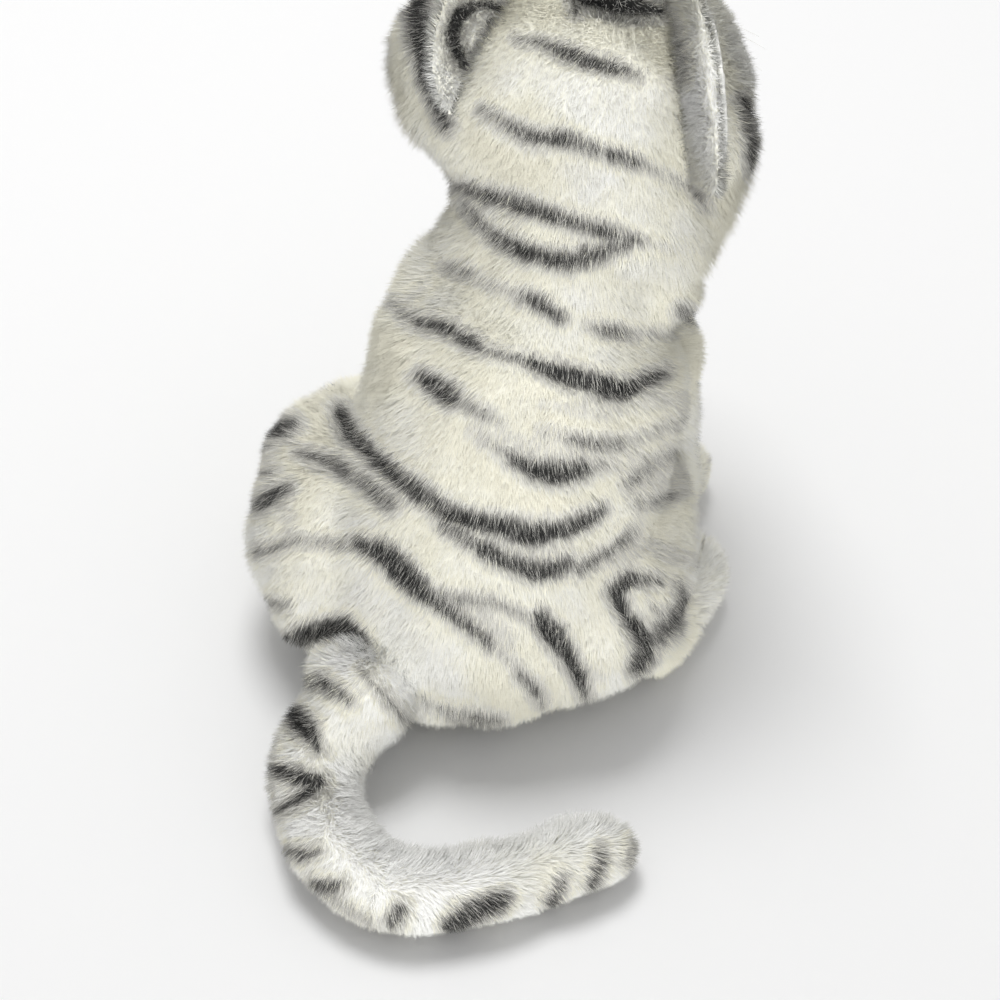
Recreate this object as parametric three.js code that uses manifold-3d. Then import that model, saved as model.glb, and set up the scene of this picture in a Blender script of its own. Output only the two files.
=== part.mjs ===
// A sitting white tiger cub, a stuffed toy with a turning head, soft ears, liftable front legs
// and a bending tail. Millimetres, +Z up, the toy looks towards -Y and its own left is +X.
import * as THREE from 'three';
import { mergeVertices } from 'three/addons/utils/BufferGeometryUtils.js';
import Module from 'manifold-3d';

const wasm = await Module();
wasm.setup();

// Gap kept between sewn pieces, how deep the standing faces are pressed flat, the shortest edge kept
const SEAM_GAP = 0.35;
const BASE_CUT = 0.5;
const FINEST_EDGE = 0.02;
const OVERRUN = 300;

// Torso from the rump to the middle of the neck ball
const TORSO = {
  rumpBehind: 50,
  rumpAside: 5,
  height: 198,
  lean: 74,
  sway: 16,
  halfWidth: 73,
  halfDepth: 58,
  roundBaseShare: 0.2,
  roundNeckShare: 0.22,
  basePower: 2.2,
  flatBaseShare: 0.5,
  spineShares: [[0, 0, 0], [0.05, 0.03, 0.27], [0.4, 0.33, 0.58], [0.68, 0.72, 0.84], [1, 1, 1]],
  widthShares: [0.97, 1, 0.97, 0.94, 0.94, 0.97],
  depthShares: [0.93, 0.96, 0.98, 0.96, 0.96, 0.96],
  sides: 24,
  rings: 15,
};

// Neck: the ball that the head turns on, and how the neck points
const NECK = { radius: 51, toHead: 68, planeAbove: 14, pitch: 29, yaw: -12 };

// Hind legs: a wide thigh on each side, the left one set further out and back
const THIGH = {
  length: 122,
  halfHeight: 60,
  halfWidth: { left: 44, right: 38 },
  outside: { left: 67, right: 51 },
  behind: { left: 24, right: 19 },
  middleAbove: 59,
  kneeDrop: 4,
  widthShares: [0.9, 1, 0.98, 0.86],
  heightShares: [0.9, 1, 0.98, 0.86],
  roundShare: 0.4,
  sides: 16,
  rings: 10,
};
const HIND_FOOT = {
  length: 86,
  halfWidth: 21,
  halfHeight: 19,
  outside: { left: 88, right: 77 },
  toesAhead: 45,
  widthShares: [0.72, 0.86, 0.98, 1],
  heightShares: [0.85, 0.95, 1, 0.92],
  roundShare: 0.2,
  sides: 14,
  rings: 9,
};

// Front legs: a shoulder ball, a tapered leg and a paw
const FRONT_LEG = {
  shoulderAbove: 138,
  shoulderAhead: 34,
  outside: { left: 38, right: 33 },
  splay: { left: 14, right: 10 },
  ballRadius: 28,
  halfWidth: 26,
  halfDepth: 27,
  wristAbove: 18,
  wristAhead: 62,
  elbowAheadShare: 0.42,
  widthShares: [1.04, 1.04, 0.95, 0.85, 0.8],
  depthShares: [1, 1.01, 0.93, 0.85, 0.82],
  roundShare: 0.14,
  liftedUpTo: 30,
  jointSides: 20,
  sides: 14,
  rings: 9,
};
const PAW = {
  length: 60,
  halfWidth: 24,
  halfHeight: 18,
  toesAhead: 107,
  widthShares: [0.8, 0.95, 1, 0.96],
  heightShares: [0.92, 1, 0.97, 0.86],
  roundShare: 0.3,
  sides: 14,
  rings: 8,
};

// Tail: three stuffed lengths lying in a curl behind the rump
const TAIL = {
  rootLeft: 37,
  rootBehind: 105,
  rootAbove: 42,
  rootBall: 24,
  reach: 128,
  radius: 19,
  thicknessShares: [1, 1, 0.96, 0.92, 0.88, 0.86, 0.82],
  routeShares: [
    [0, 0, 0], [0.07, 0.15, 0.62], [0.06, 0.32, 0.97], [-0.07, 0.52, 1], [-0.27, 0.62, 1],
    [-0.48, 0.56, 1], [-0.69, 0.43, 1], [-0.87, 0.28, 1], [-1.02, 0.17, 1],
  ],
  jointShares: [0, 0.36, 0.66, 1],
  tipRoundShare: 0.22,
  jointSides: 24,
  sides: 12,
  rings: 8,
};

// Head, measured from its middle, looking straight ahead before it is tilted and turned
const HEAD = {
  turn: -5,
  tilt: 8,
  aside: 18,
  halfWidth: 74,
  halfDepth: 62,
  crown: 64,
  jaw: 52,
  pitchBack: 6,
  widthShares: [0.92, 0.98, 1, 0.98, 0.94, 0.9],
  depthShares: [0.94, 0.98, 1, 1, 0.97, 0.92],
  roundJawShare: 0.42,
  roundCrownShare: 0.46,
  roundPower: 2.2,
  sides: 24,
  rings: 14,
};
const COLLAR = {
  startAbove: 4,
  reach: 56,
  radius: 56,
  widthShares: [0.97, 1.02, 1.04, 0.94],
  sides: 24,
  rings: 3,
};
const MUZZLE = {
  lobeHalfWidth: 22,
  lobeHalfDepth: 27,
  lobeHalfHeight: 19,
  lobeOutside: 14,
  ahead: 67,
  below: 18,
  bridgeHalfWidth: 17,
  bridgeHalfDepth: 38,
  bridgeHalfHeight: 20,
  bridgeAhead: 50,
  bridgeBelow: 4,
  sides: 14,
  rings: 8,
};
const CHIN = { halfWidth: 18, halfDepth: 20, halfHeight: 14, ahead: 60, below: 37, sides: 12, rings: 7 };

// Ears: a furry back shaped like a shallow cup, with a smooth lining sewn into it
const EAR = {
  seatOutsideShares: { left: 0.45, right: 0.62 },
  seatBehindShare: 0.42,
  seatAboveShare: 0.6,
  riseShares: [0.47, 0.57, 0.67],
  facingShares: [0.76, -0.62, -0.1],
  halfChord: 40,
  height: 37,
  halfThickness: 8,
  wall: 6,
  cupChord: 31,
  cupHeight: 29,
  cupDepth: 9,
  lining: 3,
  flopAngle: 20,
  sides: 18,
  rings: 10,
};

// Safety eyes and nose: moulded on stems that pass through the fabric into lock washers
const EYE = {
  outside: 28,
  above: 12,
  radius: 9.5,
  dome: 5.5,
  rim: 1.2,
  stemRadius: 2.5,
  stemLength: 17,
  turnOut: 24,
  tiltUp: 6,
  sides: 18,
  arcSteps: 4,
};
const WASHER = { radius: 9, thickness: 2, inward: 10, boreGap: 0.35, sides: 14 };
const NOSE = {
  width: 27,
  height: 18,
  plate: 3,
  bevel: 2.4,
  bevelSteps: 2,
  stemRadius: 2.5,
  stemLength: 17,
  above: -6,
  ahead: 87,
  cornerShare: 0.3,
  curveSteps: 3,
};

// Pellet pouch that weighs down the rump, reached through the hand-sewn closing seam
const POUCH = { halfWidth: 40, halfDepth: 33, halfHeight: 22, above: 42, sides: 14, rings: 8 };
const CLOSING_SEAM = { length: 34, width: 2.5 };

const X_AXIS = new THREE.Vector3(1, 0, 0);
const Y_AXIS = new THREE.Vector3(0, 1, 0);
const Z_AXIS = new THREE.Vector3(0, 0, 1);
const SIDES = { left: 1, right: -1 };
const point = (x, y, z) => new THREE.Vector3(x, y, z);

// A value read along a list of evenly spaced shares
function shareAt(shares, t) {
  return new THREE.SplineCurve(shares.map((share, i) => new THREE.Vector2(i, share))).getPoint(t).y;
}

// How far a rounded end has grown at t: 0 on the pole and 1 where the rounding is over
function roundedEnd(t, share, power) {
  if (share === 0 || t >= share) return 1;
  return Math.pow(1 - Math.pow((share - t) / share, power), 1 / power);
}

// A stuffed tube along a curve: it swells and tapers by its shares and closes in rounded ends,
// or starts from a flat of a share of its width
function stuffedForm(form) {
  const { curve, across, halfWidth, halfDepth, widthShares, depthShares, sides, rings } = form;
  const { startRound = 0, endRound = 0, startPower = 2, endPower = 2, startFlat = 0 } = form;
  const positions = [];
  const index = [];
  curve.getPointAt(0).toArray(positions, 0);
  const steps = rings + 1;
  for (let ring = 0; ring <= steps; ring += 1) {
    const even = ring / steps;
    const crowded = (1 - Math.cos(Math.PI * even)) / 2;
    const t = startRound + endRound > 0 ? crowded : even;
    if ((startRound > 0 && startFlat === 0 && ring === 0) || (endRound > 0 && ring === steps)) continue;
    const start = THREE.MathUtils.lerp(startFlat, 1, roundedEnd(t, startRound, startPower));
    const ends = start * roundedEnd(1 - t, endRound, endPower);
    const centre = curve.getPointAt(t);
    const along = curve.getTangentAt(t);
    const wide = across.clone().addScaledVector(along, -across.dot(along)).normalize();
    const deep = along.clone().cross(wide);
    const w = halfWidth * shareAt(widthShares, t) * ends;
    const d = halfDepth * shareAt(depthShares, t) * ends;
    for (let side = 0; side < sides; side += 1) {
      const angle = (side / sides) * Math.PI * 2;
      const at = centre.clone().addScaledVector(wide, w * Math.cos(angle));
      at.addScaledVector(deep, d * Math.sin(angle)).toArray(positions, positions.length);
    }
  }
  curve.getPointAt(1).toArray(positions, positions.length);
  const last = positions.length / 3 - 1;
  const ringCount = (last - 1) / sides;
  for (let side = 0; side < sides; side += 1) {
    const next = (side + 1) % sides;
    index.push(0, 1 + next, 1 + side);
    for (let ring = 0; ring < ringCount - 1; ring += 1) {
      const here = 1 + ring * sides;
      const above = here + sides;
      index.push(here + side, here + next, above + next, here + side, above + next, above + side);
    }
    const top = 1 + (ringCount - 1) * sides;
    index.push(last, top + side, top + next);
  }
  const geometry = new THREE.BufferGeometry();
  geometry.setAttribute('position', new THREE.Float32BufferAttribute(positions, 3));
  geometry.setIndex(index);
  return geometry;
}

// A ball or egg with its middle at a point
function ball(centre, radii, sides, rings) {
  const geometry = new THREE.SphereGeometry(1, sides, rings).rotateX(Math.PI / 2);
  return geometry.scale(radii.x, radii.y, radii.z).translate(centre.x, centre.y, centre.z);
}

// A joint's ball with its poles on the line that it turns about
function jointBall({ at, axis, radius, sides, rings }) {
  const aim = new THREE.Quaternion().setFromUnitVectors(Z_AXIS, axis);
  const geometry = new THREE.SphereGeometry(radius, sides, rings).rotateX(Math.PI / 2);
  return geometry.applyQuaternion(aim).translate(at.x, at.y, at.z);
}

// The hollow that the ball turns in: even the middles of its flat sides clear the ball's corners
function jointHollow(joint) {
  return jointBall({ ...joint, radius: (joint.radius + SEAM_GAP) / Math.cos(Math.PI / joint.sides) });
}

// The closed solid of a geometry, and the geometry of a solid
function solid(geometry) {
  const bare = geometry.clone();
  bare.deleteAttribute('normal');
  bare.deleteAttribute('uv');
  const merged = mergeVertices(bare);
  const vertProperties = new Float32Array(merged.attributes.position.array);
  const triVerts = new Uint32Array(merged.index.array);
  return new wasm.Manifold(new wasm.Mesh({ numProp: 3, vertProperties, triVerts }));
}

function geometryOf(made) {
  const mesh = made.getMesh();
  const geometry = new THREE.BufferGeometry();
  geometry.setAttribute('position', new THREE.Float32BufferAttribute(mesh.vertProperties, mesh.numProp));
  geometry.setIndex([...mesh.triVerts]);
  geometry.computeVertexNormals();
  return geometry;
}

// The same geometry with every point moved out along its normal
function grown(geometry, by) {
  const bare = geometry.clone();
  bare.deleteAttribute('normal');
  bare.deleteAttribute('uv');
  const merged = mergeVertices(bare);
  merged.computeVertexNormals();
  const place = merged.attributes.position;
  const normal = merged.attributes.normal;
  for (let i = 0; i < place.count; i += 1) {
    const moved = point(0, 0, 0).fromBufferAttribute(place, i);
    moved.addScaledVector(point(0, 0, 0).fromBufferAttribute(normal, i), by);
    place.setXYZ(i, moved.x, moved.y, moved.z);
  }
  merged.deleteAttribute('normal');
  return merged;
}

// Everything below the ground, which presses the standing forms flat
function ground() {
  return solid(new THREE.BoxGeometry(OVERRUN * 2, OVERRUN * 2, OVERRUN).translate(0, 0, -OVERRUN / 2));
}

// A turn about a line, for clearances that a moving piece sweeps
function turnedAbout(geometry, centre, axis, degrees) {
  const turned = geometry.clone().translate(-centre.x, -centre.y, -centre.z);
  turned.applyMatrix4(new THREE.Matrix4().makeRotationAxis(axis, THREE.MathUtils.degToRad(degrees)));
  return turned.translate(centre.x, centre.y, centre.z);
}

// A moving piece cut free of the forms it passes, with those turned the other way about its line
function clearOf(made, forms, centre, axis, turns) {
  let cut = made;
  for (const form of forms) {
    for (const degrees of turns) {
      cut = cut.subtract(solid(turnedAbout(grown(form, SEAM_GAP), centre, axis, degrees)));
    }
  }
  return cut;
}

const neckBall = point(TORSO.rumpAside - TORSO.sway, TORSO.rumpBehind - TORSO.lean, TORSO.height);
const neckAxis = Z_AXIS.clone()
  .applyAxisAngle(X_AXIS, THREE.MathUtils.degToRad(NECK.pitch))
  .applyAxisAngle(Z_AXIS, THREE.MathUtils.degToRad(NECK.yaw));
const headMiddle = neckBall.clone().addScaledVector(neckAxis, NECK.toHead);
headMiddle.x += HEAD.aside;
const headAim = new THREE.Quaternion()
  .setFromAxisAngle(Y_AXIS, THREE.MathUtils.degToRad(-HEAD.tilt))
  .multiply(new THREE.Quaternion().setFromAxisAngle(Z_AXIS, THREE.MathUtils.degToRad(HEAD.turn)));
const shoulder = (side) => point(
  neckBall.x + SIDES[side] * FRONT_LEG.outside[side],
  -FRONT_LEG.shoulderAhead,
  FRONT_LEG.shoulderAbove,
);
const tailRoot = point(TAIL.rootLeft, TAIL.rootBehind, TAIL.rootAbove);

function torsoForm() {
  const places = TORSO.spineShares.map(([sway, lean, height]) => point(
    TORSO.rumpAside - TORSO.sway * sway,
    TORSO.rumpBehind - TORSO.lean * lean,
    TORSO.height * height - BASE_CUT,
  ));
  return stuffedForm({
    ...TORSO,
    curve: new THREE.CatmullRomCurve3(places),
    across: X_AXIS,
    startRound: TORSO.roundBaseShare,
    startPower: TORSO.basePower,
    startFlat: TORSO.flatBaseShare,
    endRound: TORSO.roundNeckShare,
  });
}

function thighForm(side) {
  const x = SIDES[side] * THIGH.outside[side];
  const y = THIGH.behind[side];
  const z = THIGH.middleAbove;
  const half = THIGH.length / 2;
  return stuffedForm({
    curve: new THREE.CatmullRomCurve3([
      point(x, y + half, z - THIGH.kneeDrop / 2),
      point(x, y, z),
      point(x, y - half, z - THIGH.kneeDrop),
    ]),
    across: X_AXIS,
    halfWidth: THIGH.halfWidth[side],
    halfDepth: THIGH.halfHeight,
    widthShares: THIGH.widthShares,
    depthShares: THIGH.heightShares,
    startRound: THIGH.roundShare,
    endRound: THIGH.roundShare,
    sides: THIGH.sides,
    rings: THIGH.rings,
  });
}

// A foot or paw: a low rounded form along the ground, widest towards the toes
function footForm(foot, x) {
  const z = foot.halfHeight - BASE_CUT;
  return stuffedForm({
    curve: new THREE.LineCurve3(point(x, foot.length - foot.toesAhead, z), point(x, -foot.toesAhead, z)),
    across: X_AXIS,
    halfWidth: foot.halfWidth,
    halfDepth: foot.halfHeight,
    widthShares: foot.widthShares,
    depthShares: foot.heightShares,
    startRound: foot.roundShare,
    endRound: foot.roundShare,
    sides: foot.sides,
    rings: foot.rings,
  });
}

const pawMiddle = (side) => neckBall.x + SIDES[side] * (FRONT_LEG.outside[side] + FRONT_LEG.splay[side]);

function frontLegForm(side) {
  const top = shoulder(side);
  const wrist = point(pawMiddle(side), -FRONT_LEG.wristAhead, FRONT_LEG.wristAbove);
  const elbow = top.clone().add(wrist).divideScalar(2);
  elbow.y = THREE.MathUtils.lerp(top.y, wrist.y, FRONT_LEG.elbowAheadShare);
  return stuffedForm({
    ...FRONT_LEG,
    curve: new THREE.CatmullRomCurve3([top, elbow, wrist]),
    across: X_AXIS,
    startRound: FRONT_LEG.roundShare,
    endRound: FRONT_LEG.roundShare,
  });
}

const tailRoute = new THREE.CatmullRomCurve3(
  TAIL.routeShares.map(([left, behind, down]) =>
    point(
      tailRoot.x + TAIL.reach * left,
      tailRoot.y + TAIL.reach * behind,
      THREE.MathUtils.lerp(tailRoot.z, TAIL.radius - BASE_CUT, down),
    )),
);
const tailRadiusAt = (share) => TAIL.radius * shareAt(TAIL.thicknessShares, share);

// The tail's height drops with its radius, so that every length lies on the ground
function tailPointAt(share) {
  const at = tailRoute.getPointAt(share);
  at.z -= TAIL.radius - tailRadiusAt(share);
  return at;
}

function tailLengthForm(number) {
  const from = TAIL.jointShares[number];
  const to = TAIL.jointShares[number + 1];
  const isTip = number === TAIL.jointShares.length - 2;
  const places = [];
  for (let step = 0; step <= TAIL.rings; step += 1) {
    places.push(tailPointAt(THREE.MathUtils.lerp(from, to, step / TAIL.rings)));
  }
  const shares = places.map((_, i) => shareAt(TAIL.thicknessShares, from + ((to - from) * i) / TAIL.rings));
  return stuffedForm({
    curve: new THREE.CatmullRomCurve3(places),
    across: Z_AXIS,
    halfWidth: TAIL.radius,
    halfDepth: TAIL.radius,
    widthShares: shares,
    depthShares: shares,
    endRound: isTip ? TAIL.tipRoundShare : 0,
    sides: TAIL.sides,
    rings: TAIL.rings,
  });
}

// The head turns on the neck ball, in a frame of its own whose origin is the head's middle
const headAimBack = headAim.clone().invert();
const axisInHead = neckAxis.clone().applyQuaternion(headAimBack);
const neckInHead = neckBall.clone().sub(headMiddle).applyQuaternion(headAimBack);

// Everything below the collar plane, which the head never crosses as it turns
function belowCollar() {
  const block = new THREE.BoxGeometry(OVERRUN, OVERRUN, OVERRUN).translate(0, 0, -OVERRUN / 2);
  const aim = new THREE.Quaternion().setFromUnitVectors(Z_AXIS, axisInHead);
  const at = neckInHead.clone().addScaledVector(axisInHead, NECK.planeAbove);
  return solid(block.applyQuaternion(aim).translate(at.x, at.y, at.z));
}

function headForm() {
  const jaw = point(0, HEAD.pitchBack, -HEAD.jaw);
  const crown = point(0, HEAD.pitchBack, HEAD.crown);
  return stuffedForm({
    ...HEAD,
    curve: new THREE.CatmullRomCurve3([jaw, point(0, 0, 0), crown]),
    across: X_AXIS,
    startRound: HEAD.roundJawShare,
    startPower: HEAD.roundPower,
    endRound: HEAD.roundCrownShare,
    endPower: HEAD.roundPower,
  });
}

// The collar carries the head's fabric down over the neck ball
function collarForm() {
  const start = neckInHead.clone().addScaledVector(axisInHead, COLLAR.startAbove);
  return stuffedForm({
    ...COLLAR,
    curve: new THREE.LineCurve3(start, start.clone().addScaledVector(axisInHead, COLLAR.reach)),
    across: X_AXIS,
    halfWidth: COLLAR.radius,
    halfDepth: COLLAR.radius,
    depthShares: COLLAR.widthShares,
  });
}

// Cuts shared by the pieces round the face: a stem hole with the pocket of its lock washer
function stemHole(stemRadius, stemLength, placed) {
  const reach = stemLength + WASHER.thickness;
  const stem = new THREE.CylinderGeometry(
    stemRadius + SEAM_GAP, stemRadius + SEAM_GAP, reach * 2, WASHER.sides);
  const pocket = new THREE.CylinderGeometry(
    WASHER.radius + SEAM_GAP, WASHER.radius + SEAM_GAP, WASHER.thickness + SEAM_GAP * 2, WASHER.sides);
  pocket.translate(0, -WASHER.inward - WASHER.thickness / 2, 0);
  return solid(stem).add(solid(pocket)).transform([...placed.elements]);
}

function washerSolid(stemRadius, placed) {
  const bore = stemRadius + WASHER.boreGap;
  const low = -WASHER.inward - WASHER.thickness;
  const profile = [
    new THREE.Vector2(bore, low),
    new THREE.Vector2(WASHER.radius, low),
    new THREE.Vector2(WASHER.radius, -WASHER.inward),
    new THREE.Vector2(bore, -WASHER.inward),
    new THREE.Vector2(bore, low),
  ];
  return solid(new THREE.LatheGeometry(profile, WASHER.sides)).transform([...placed.elements]);
}

// A domed eye on its stem, along +Y before it is placed
function eyeSolid(placed) {
  const profile = [
    new THREE.Vector2(0, -EYE.stemLength),
    new THREE.Vector2(EYE.stemRadius, -EYE.stemLength),
    new THREE.Vector2(EYE.stemRadius, 0),
    new THREE.Vector2(EYE.radius, 0),
  ];
  for (let step = 0; step <= EYE.arcSteps; step += 1) {
    const angle = ((step / EYE.arcSteps) * Math.PI) / 2;
    const x = step === EYE.arcSteps ? 0 : EYE.radius * Math.cos(angle);
    profile.push(new THREE.Vector2(x, EYE.rim + EYE.dome * Math.sin(angle)));
  }
  return solid(new THREE.LatheGeometry(profile, EYE.sides)).transform([...placed.elements]);
}

// Where the eye's back lies: on the head's surface, looking outwards and a little up
function eyePlace(side, surface) {
  const out = new THREE.Matrix4().makeRotationZ(THREE.MathUtils.degToRad(SIDES[side] * EYE.turnOut));
  const tilt = new THREE.Matrix4().makeRotationX(THREE.MathUtils.degToRad(-EYE.tiltUp));
  const forward = new THREE.Matrix4().makeRotationX(Math.PI);
  const aim = out.multiply(tilt).multiply(forward);
  return aim.setPosition(SIDES[side] * EYE.outside, -surface, EYE.above);
}

// How far the head's surface lies ahead of its middle at a place on the face
function faceDepthAt(x, z) {
  const wide = HEAD.halfWidth;
  return HEAD.halfDepth * Math.sqrt(1 - (x / wide) ** 2 - (z / HEAD.crown) ** 2);
}

function muzzleSolid() {
  const lobe = (side) => solid(ball(
    point(side * MUZZLE.lobeOutside, -MUZZLE.ahead, -MUZZLE.below),
    point(MUZZLE.lobeHalfWidth, MUZZLE.lobeHalfDepth, MUZZLE.lobeHalfHeight),
    MUZZLE.sides, MUZZLE.rings));
  const bridge = solid(ball(
    point(0, -MUZZLE.bridgeAhead, -MUZZLE.bridgeBelow),
    point(MUZZLE.bridgeHalfWidth, MUZZLE.bridgeHalfDepth, MUZZLE.bridgeHalfHeight),
    MUZZLE.sides, MUZZLE.rings));
  return lobe(SIDES.left).add(lobe(SIDES.right)).add(bridge);
}

const chinForm = () => ball(
  point(0, -CHIN.ahead, -CHIN.below),
  point(CHIN.halfWidth, CHIN.halfDepth, CHIN.halfHeight),
  CHIN.sides, CHIN.rings);

// Nose: a rounded triangle with a bevelled edge, point down, on a stem
function noseGeometry() {
  const half = NOSE.width / 2 - NOSE.bevel;
  const top = NOSE.height / 2 - NOSE.bevel;
  const corner = NOSE.height * NOSE.cornerShare;
  const outline = new THREE.Shape();
  outline.moveTo(-half + corner, top);
  outline.lineTo(half - corner, top);
  outline.quadraticCurveTo(half, top, half, top - corner);
  outline.quadraticCurveTo(half / 2, -top / 2, corner / 2, -top);
  outline.quadraticCurveTo(0, -top - corner / 2, -corner / 2, -top);
  outline.quadraticCurveTo(-half / 2, -top / 2, -half, top - corner);
  outline.quadraticCurveTo(-half, top, -half + corner, top);
  return new THREE.ExtrudeGeometry(outline, {
    depth: NOSE.plate,
    bevelSize: NOSE.bevel,
    bevelThickness: NOSE.bevel,
    bevelSegments: NOSE.bevelSteps,
    curveSegments: NOSE.curveSteps,
  });
}

function nosePlace() {
  return new THREE.Matrix4().makeTranslation(0, -NOSE.ahead, NOSE.above);
}

function noseSolid() {
  const plate = solid(noseGeometry().rotateX(Math.PI / 2));
  const stem = solid(new THREE.CylinderGeometry(
    NOSE.stemRadius, NOSE.stemRadius, NOSE.stemLength + NOSE.plate, WASHER.sides)
    .translate(0, (NOSE.stemLength - NOSE.plate) / 2, 0));
  return plate.add(stem).transform([...nosePlace().elements]);
}

// The stem hole and washer of the nose run inwards along +Y
const noseInwards = () => nosePlace().multiply(new THREE.Matrix4().makeRotationX(Math.PI));

// The left ear's frame: X along its seam, -Y out of the lining, Z up the ear
const earSeat = (side) => point(
  HEAD.halfWidth * EAR.seatOutsideShares[side],
  HEAD.halfDepth * EAR.seatBehindShare,
  HEAD.crown * EAR.seatAboveShare,
);
const earRise = point(...EAR.riseShares).normalize();
const earFacing = point(...EAR.facingShares).addScaledVector(
  earRise, -point(...EAR.facingShares).dot(earRise)).normalize();
const earChord = earRise.clone().cross(earFacing).normalize();

function earFrame(side) {
  const basis = new THREE.Matrix4().makeBasis(earChord, earFacing.clone().negate(), earRise);
  return basis.setPosition(earSeat(side));
}

const onSide = (side, place) => point(SIDES[side] * place.x, place.y, place.z);

// An ear is cut free of the head at rest and at both ends of its flop
function clearOfHead(made, side) {
  const turns = [0, EAR.flopAngle, -EAR.flopAngle].map((degrees) => SIDES[side] * degrees);
  const seat = onSide(side, earSeat(side));
  return clearOf(made, [headForm(), collarForm()], seat, onSide(side, earChord), turns);
}

function earSolids(side) {
  const placed = (made) => {
    const left = made.transform([...earFrame(side).elements]);
    return side === 'left' ? left : left.mirror([1, 0, 0]);
  };
  const origin = point(0, 0, 0);
  const shell = solid(ball(
    origin, point(EAR.halfChord, EAR.halfThickness, EAR.height), EAR.sides, EAR.rings));
  const cupMiddle = EAR.halfThickness - EAR.wall - EAR.cupDepth;
  const cup = ball(
    point(0, cupMiddle, 0), point(EAR.cupChord, EAR.cupDepth, EAR.cupHeight), EAR.sides, EAR.rings);
  const back = shell.subtract(solid(cup));
  const fitted = solid(grown(cup, -SEAM_GAP)).intersect(shell);
  const lining = fitted.subtract(solid(grown(cup, -SEAM_GAP).translate(0, -EAR.lining, 0)));
  return { back: clearOfHead(placed(back), side), lining: clearOfHead(placed(lining), side) };
}

function pouchForm() {
  return ball(
    point(TORSO.rumpAside, TORSO.rumpBehind, POUCH.above),
    point(POUCH.halfWidth, POUCH.halfDepth, POUCH.halfHeight),
    POUCH.sides, POUCH.rings);
}

// The closing seam, a slit from the pouch's hollow to the underside of the rump
function closingSeam() {
  const slit = new THREE.BoxGeometry(CLOSING_SEAM.length, CLOSING_SEAM.width, POUCH.above * 2);
  return solid(slit.translate(TORSO.rumpAside, TORSO.rumpBehind, 0));
}

// Joints: the tail's balls turn about upright lines, and the one at the root is thicker than the tail
const tailJoints = TAIL.jointShares.slice(0, -1).map((share, number) => ({
  at: tailPointAt(share),
  axis: Z_AXIS,
  radius: number === 0 ? TAIL.rootBall : tailRadiusAt(share),
  sides: TAIL.jointSides,
  rings: TAIL.rings,
}));
const neckJoint = {
  at: neckBall,
  axis: neckAxis,
  radius: NECK.radius,
  sides: TORSO.sides,
  rings: TORSO.rings,
};
const shoulderJoint = (side) => ({
  at: shoulder(side),
  axis: X_AXIS,
  radius: FRONT_LEG.ballRadius,
  sides: FRONT_LEG.jointSides,
  rings: FRONT_LEG.rings,
});

function tailSolid(number) {
  let made = solid(tailLengthForm(number)).add(solid(jointBall(tailJoints[number])));
  if (number + 1 < tailJoints.length) made = made.subtract(solid(jointHollow(tailJoints[number + 1])));
  return made.subtract(ground());
}

// Colours and finishes
const furCloth = () => new THREE.MeshStandardMaterial({ color: '#eceadf', roughness: 0.95, metalness: 0 });
const liningCloth = () => new THREE.MeshStandardMaterial({ color: '#f1efe8', roughness: 0.7, metalness: 0 });
const pouchCloth = () => new THREE.MeshStandardMaterial({ color: '#d9d4c6', roughness: 0.9, metalness: 0 });
const eyePlastic = () => new THREE.MeshStandardMaterial({ color: '#7fb2cf', roughness: 0.1, metalness: 0 });
const nosePlastic = () => new THREE.MeshStandardMaterial({ color: '#d8989a', roughness: 0.45, metalness: 0 });
const washerPlastic = () => new THREE.MeshStandardMaterial({ color: '#f4f4f0', roughness: 0.5, metalness: 0 });

// The largest of the bodies that a cut leaves, without edges too short to matter
function largest(made) {
  const bodies = made.decompose().sort((one, other) => other.volume() - one.volume());
  return bodies[0].simplify(FINEST_EDGE);
}

// A named mesh whose own origin is at its pivot
function piece(name, made, material, pivot = point(0, 0, 0)) {
  const geometry = geometryOf(largest(made)).translate(-pivot.x, -pivot.y, -pivot.z);
  const mesh = new THREE.Mesh(geometry, material);
  mesh.name = name;
  mesh.position.copy(pivot);
  return mesh;
}

function buildBody(tiger) {
  const floor = ground();
  const torso = torsoForm();
  const torsoGrown = solid(grown(torso, SEAM_GAP));
  const pouch = pouchForm();
  let body = solid(torso).add(solid(jointBall(neckJoint)));
  for (const joint of [tailJoints[0], shoulderJoint('left'), shoulderJoint('right')]) {
    body = body.subtract(solid(jointHollow(joint)));
  }
  body = body.subtract(solid(grown(pouch, SEAM_GAP)).add(closingSeam())).subtract(floor);
  tiger.add(piece('torso', body, furCloth()));
  tiger.add(piece('pellet_pouch', solid(pouch), pouchCloth()));
  for (const side of Object.keys(SIDES)) {
    const thighGrown = solid(grown(thighForm(side), SEAM_GAP));
    const thigh = solid(thighForm(side)).subtract(torsoGrown).subtract(floor);
    tiger.add(piece('thigh_' + side, thigh, furCloth()));
    const footX = SIDES[side] * HIND_FOOT.outside[side];
    const foot = solid(footForm(HIND_FOOT, footX)).subtract(torsoGrown).subtract(thighGrown).subtract(floor);
    tiger.add(piece('hind_foot_' + side, foot, furCloth()));
    tiger.add(buildFrontLeg(side, floor));
  }
}

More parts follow.
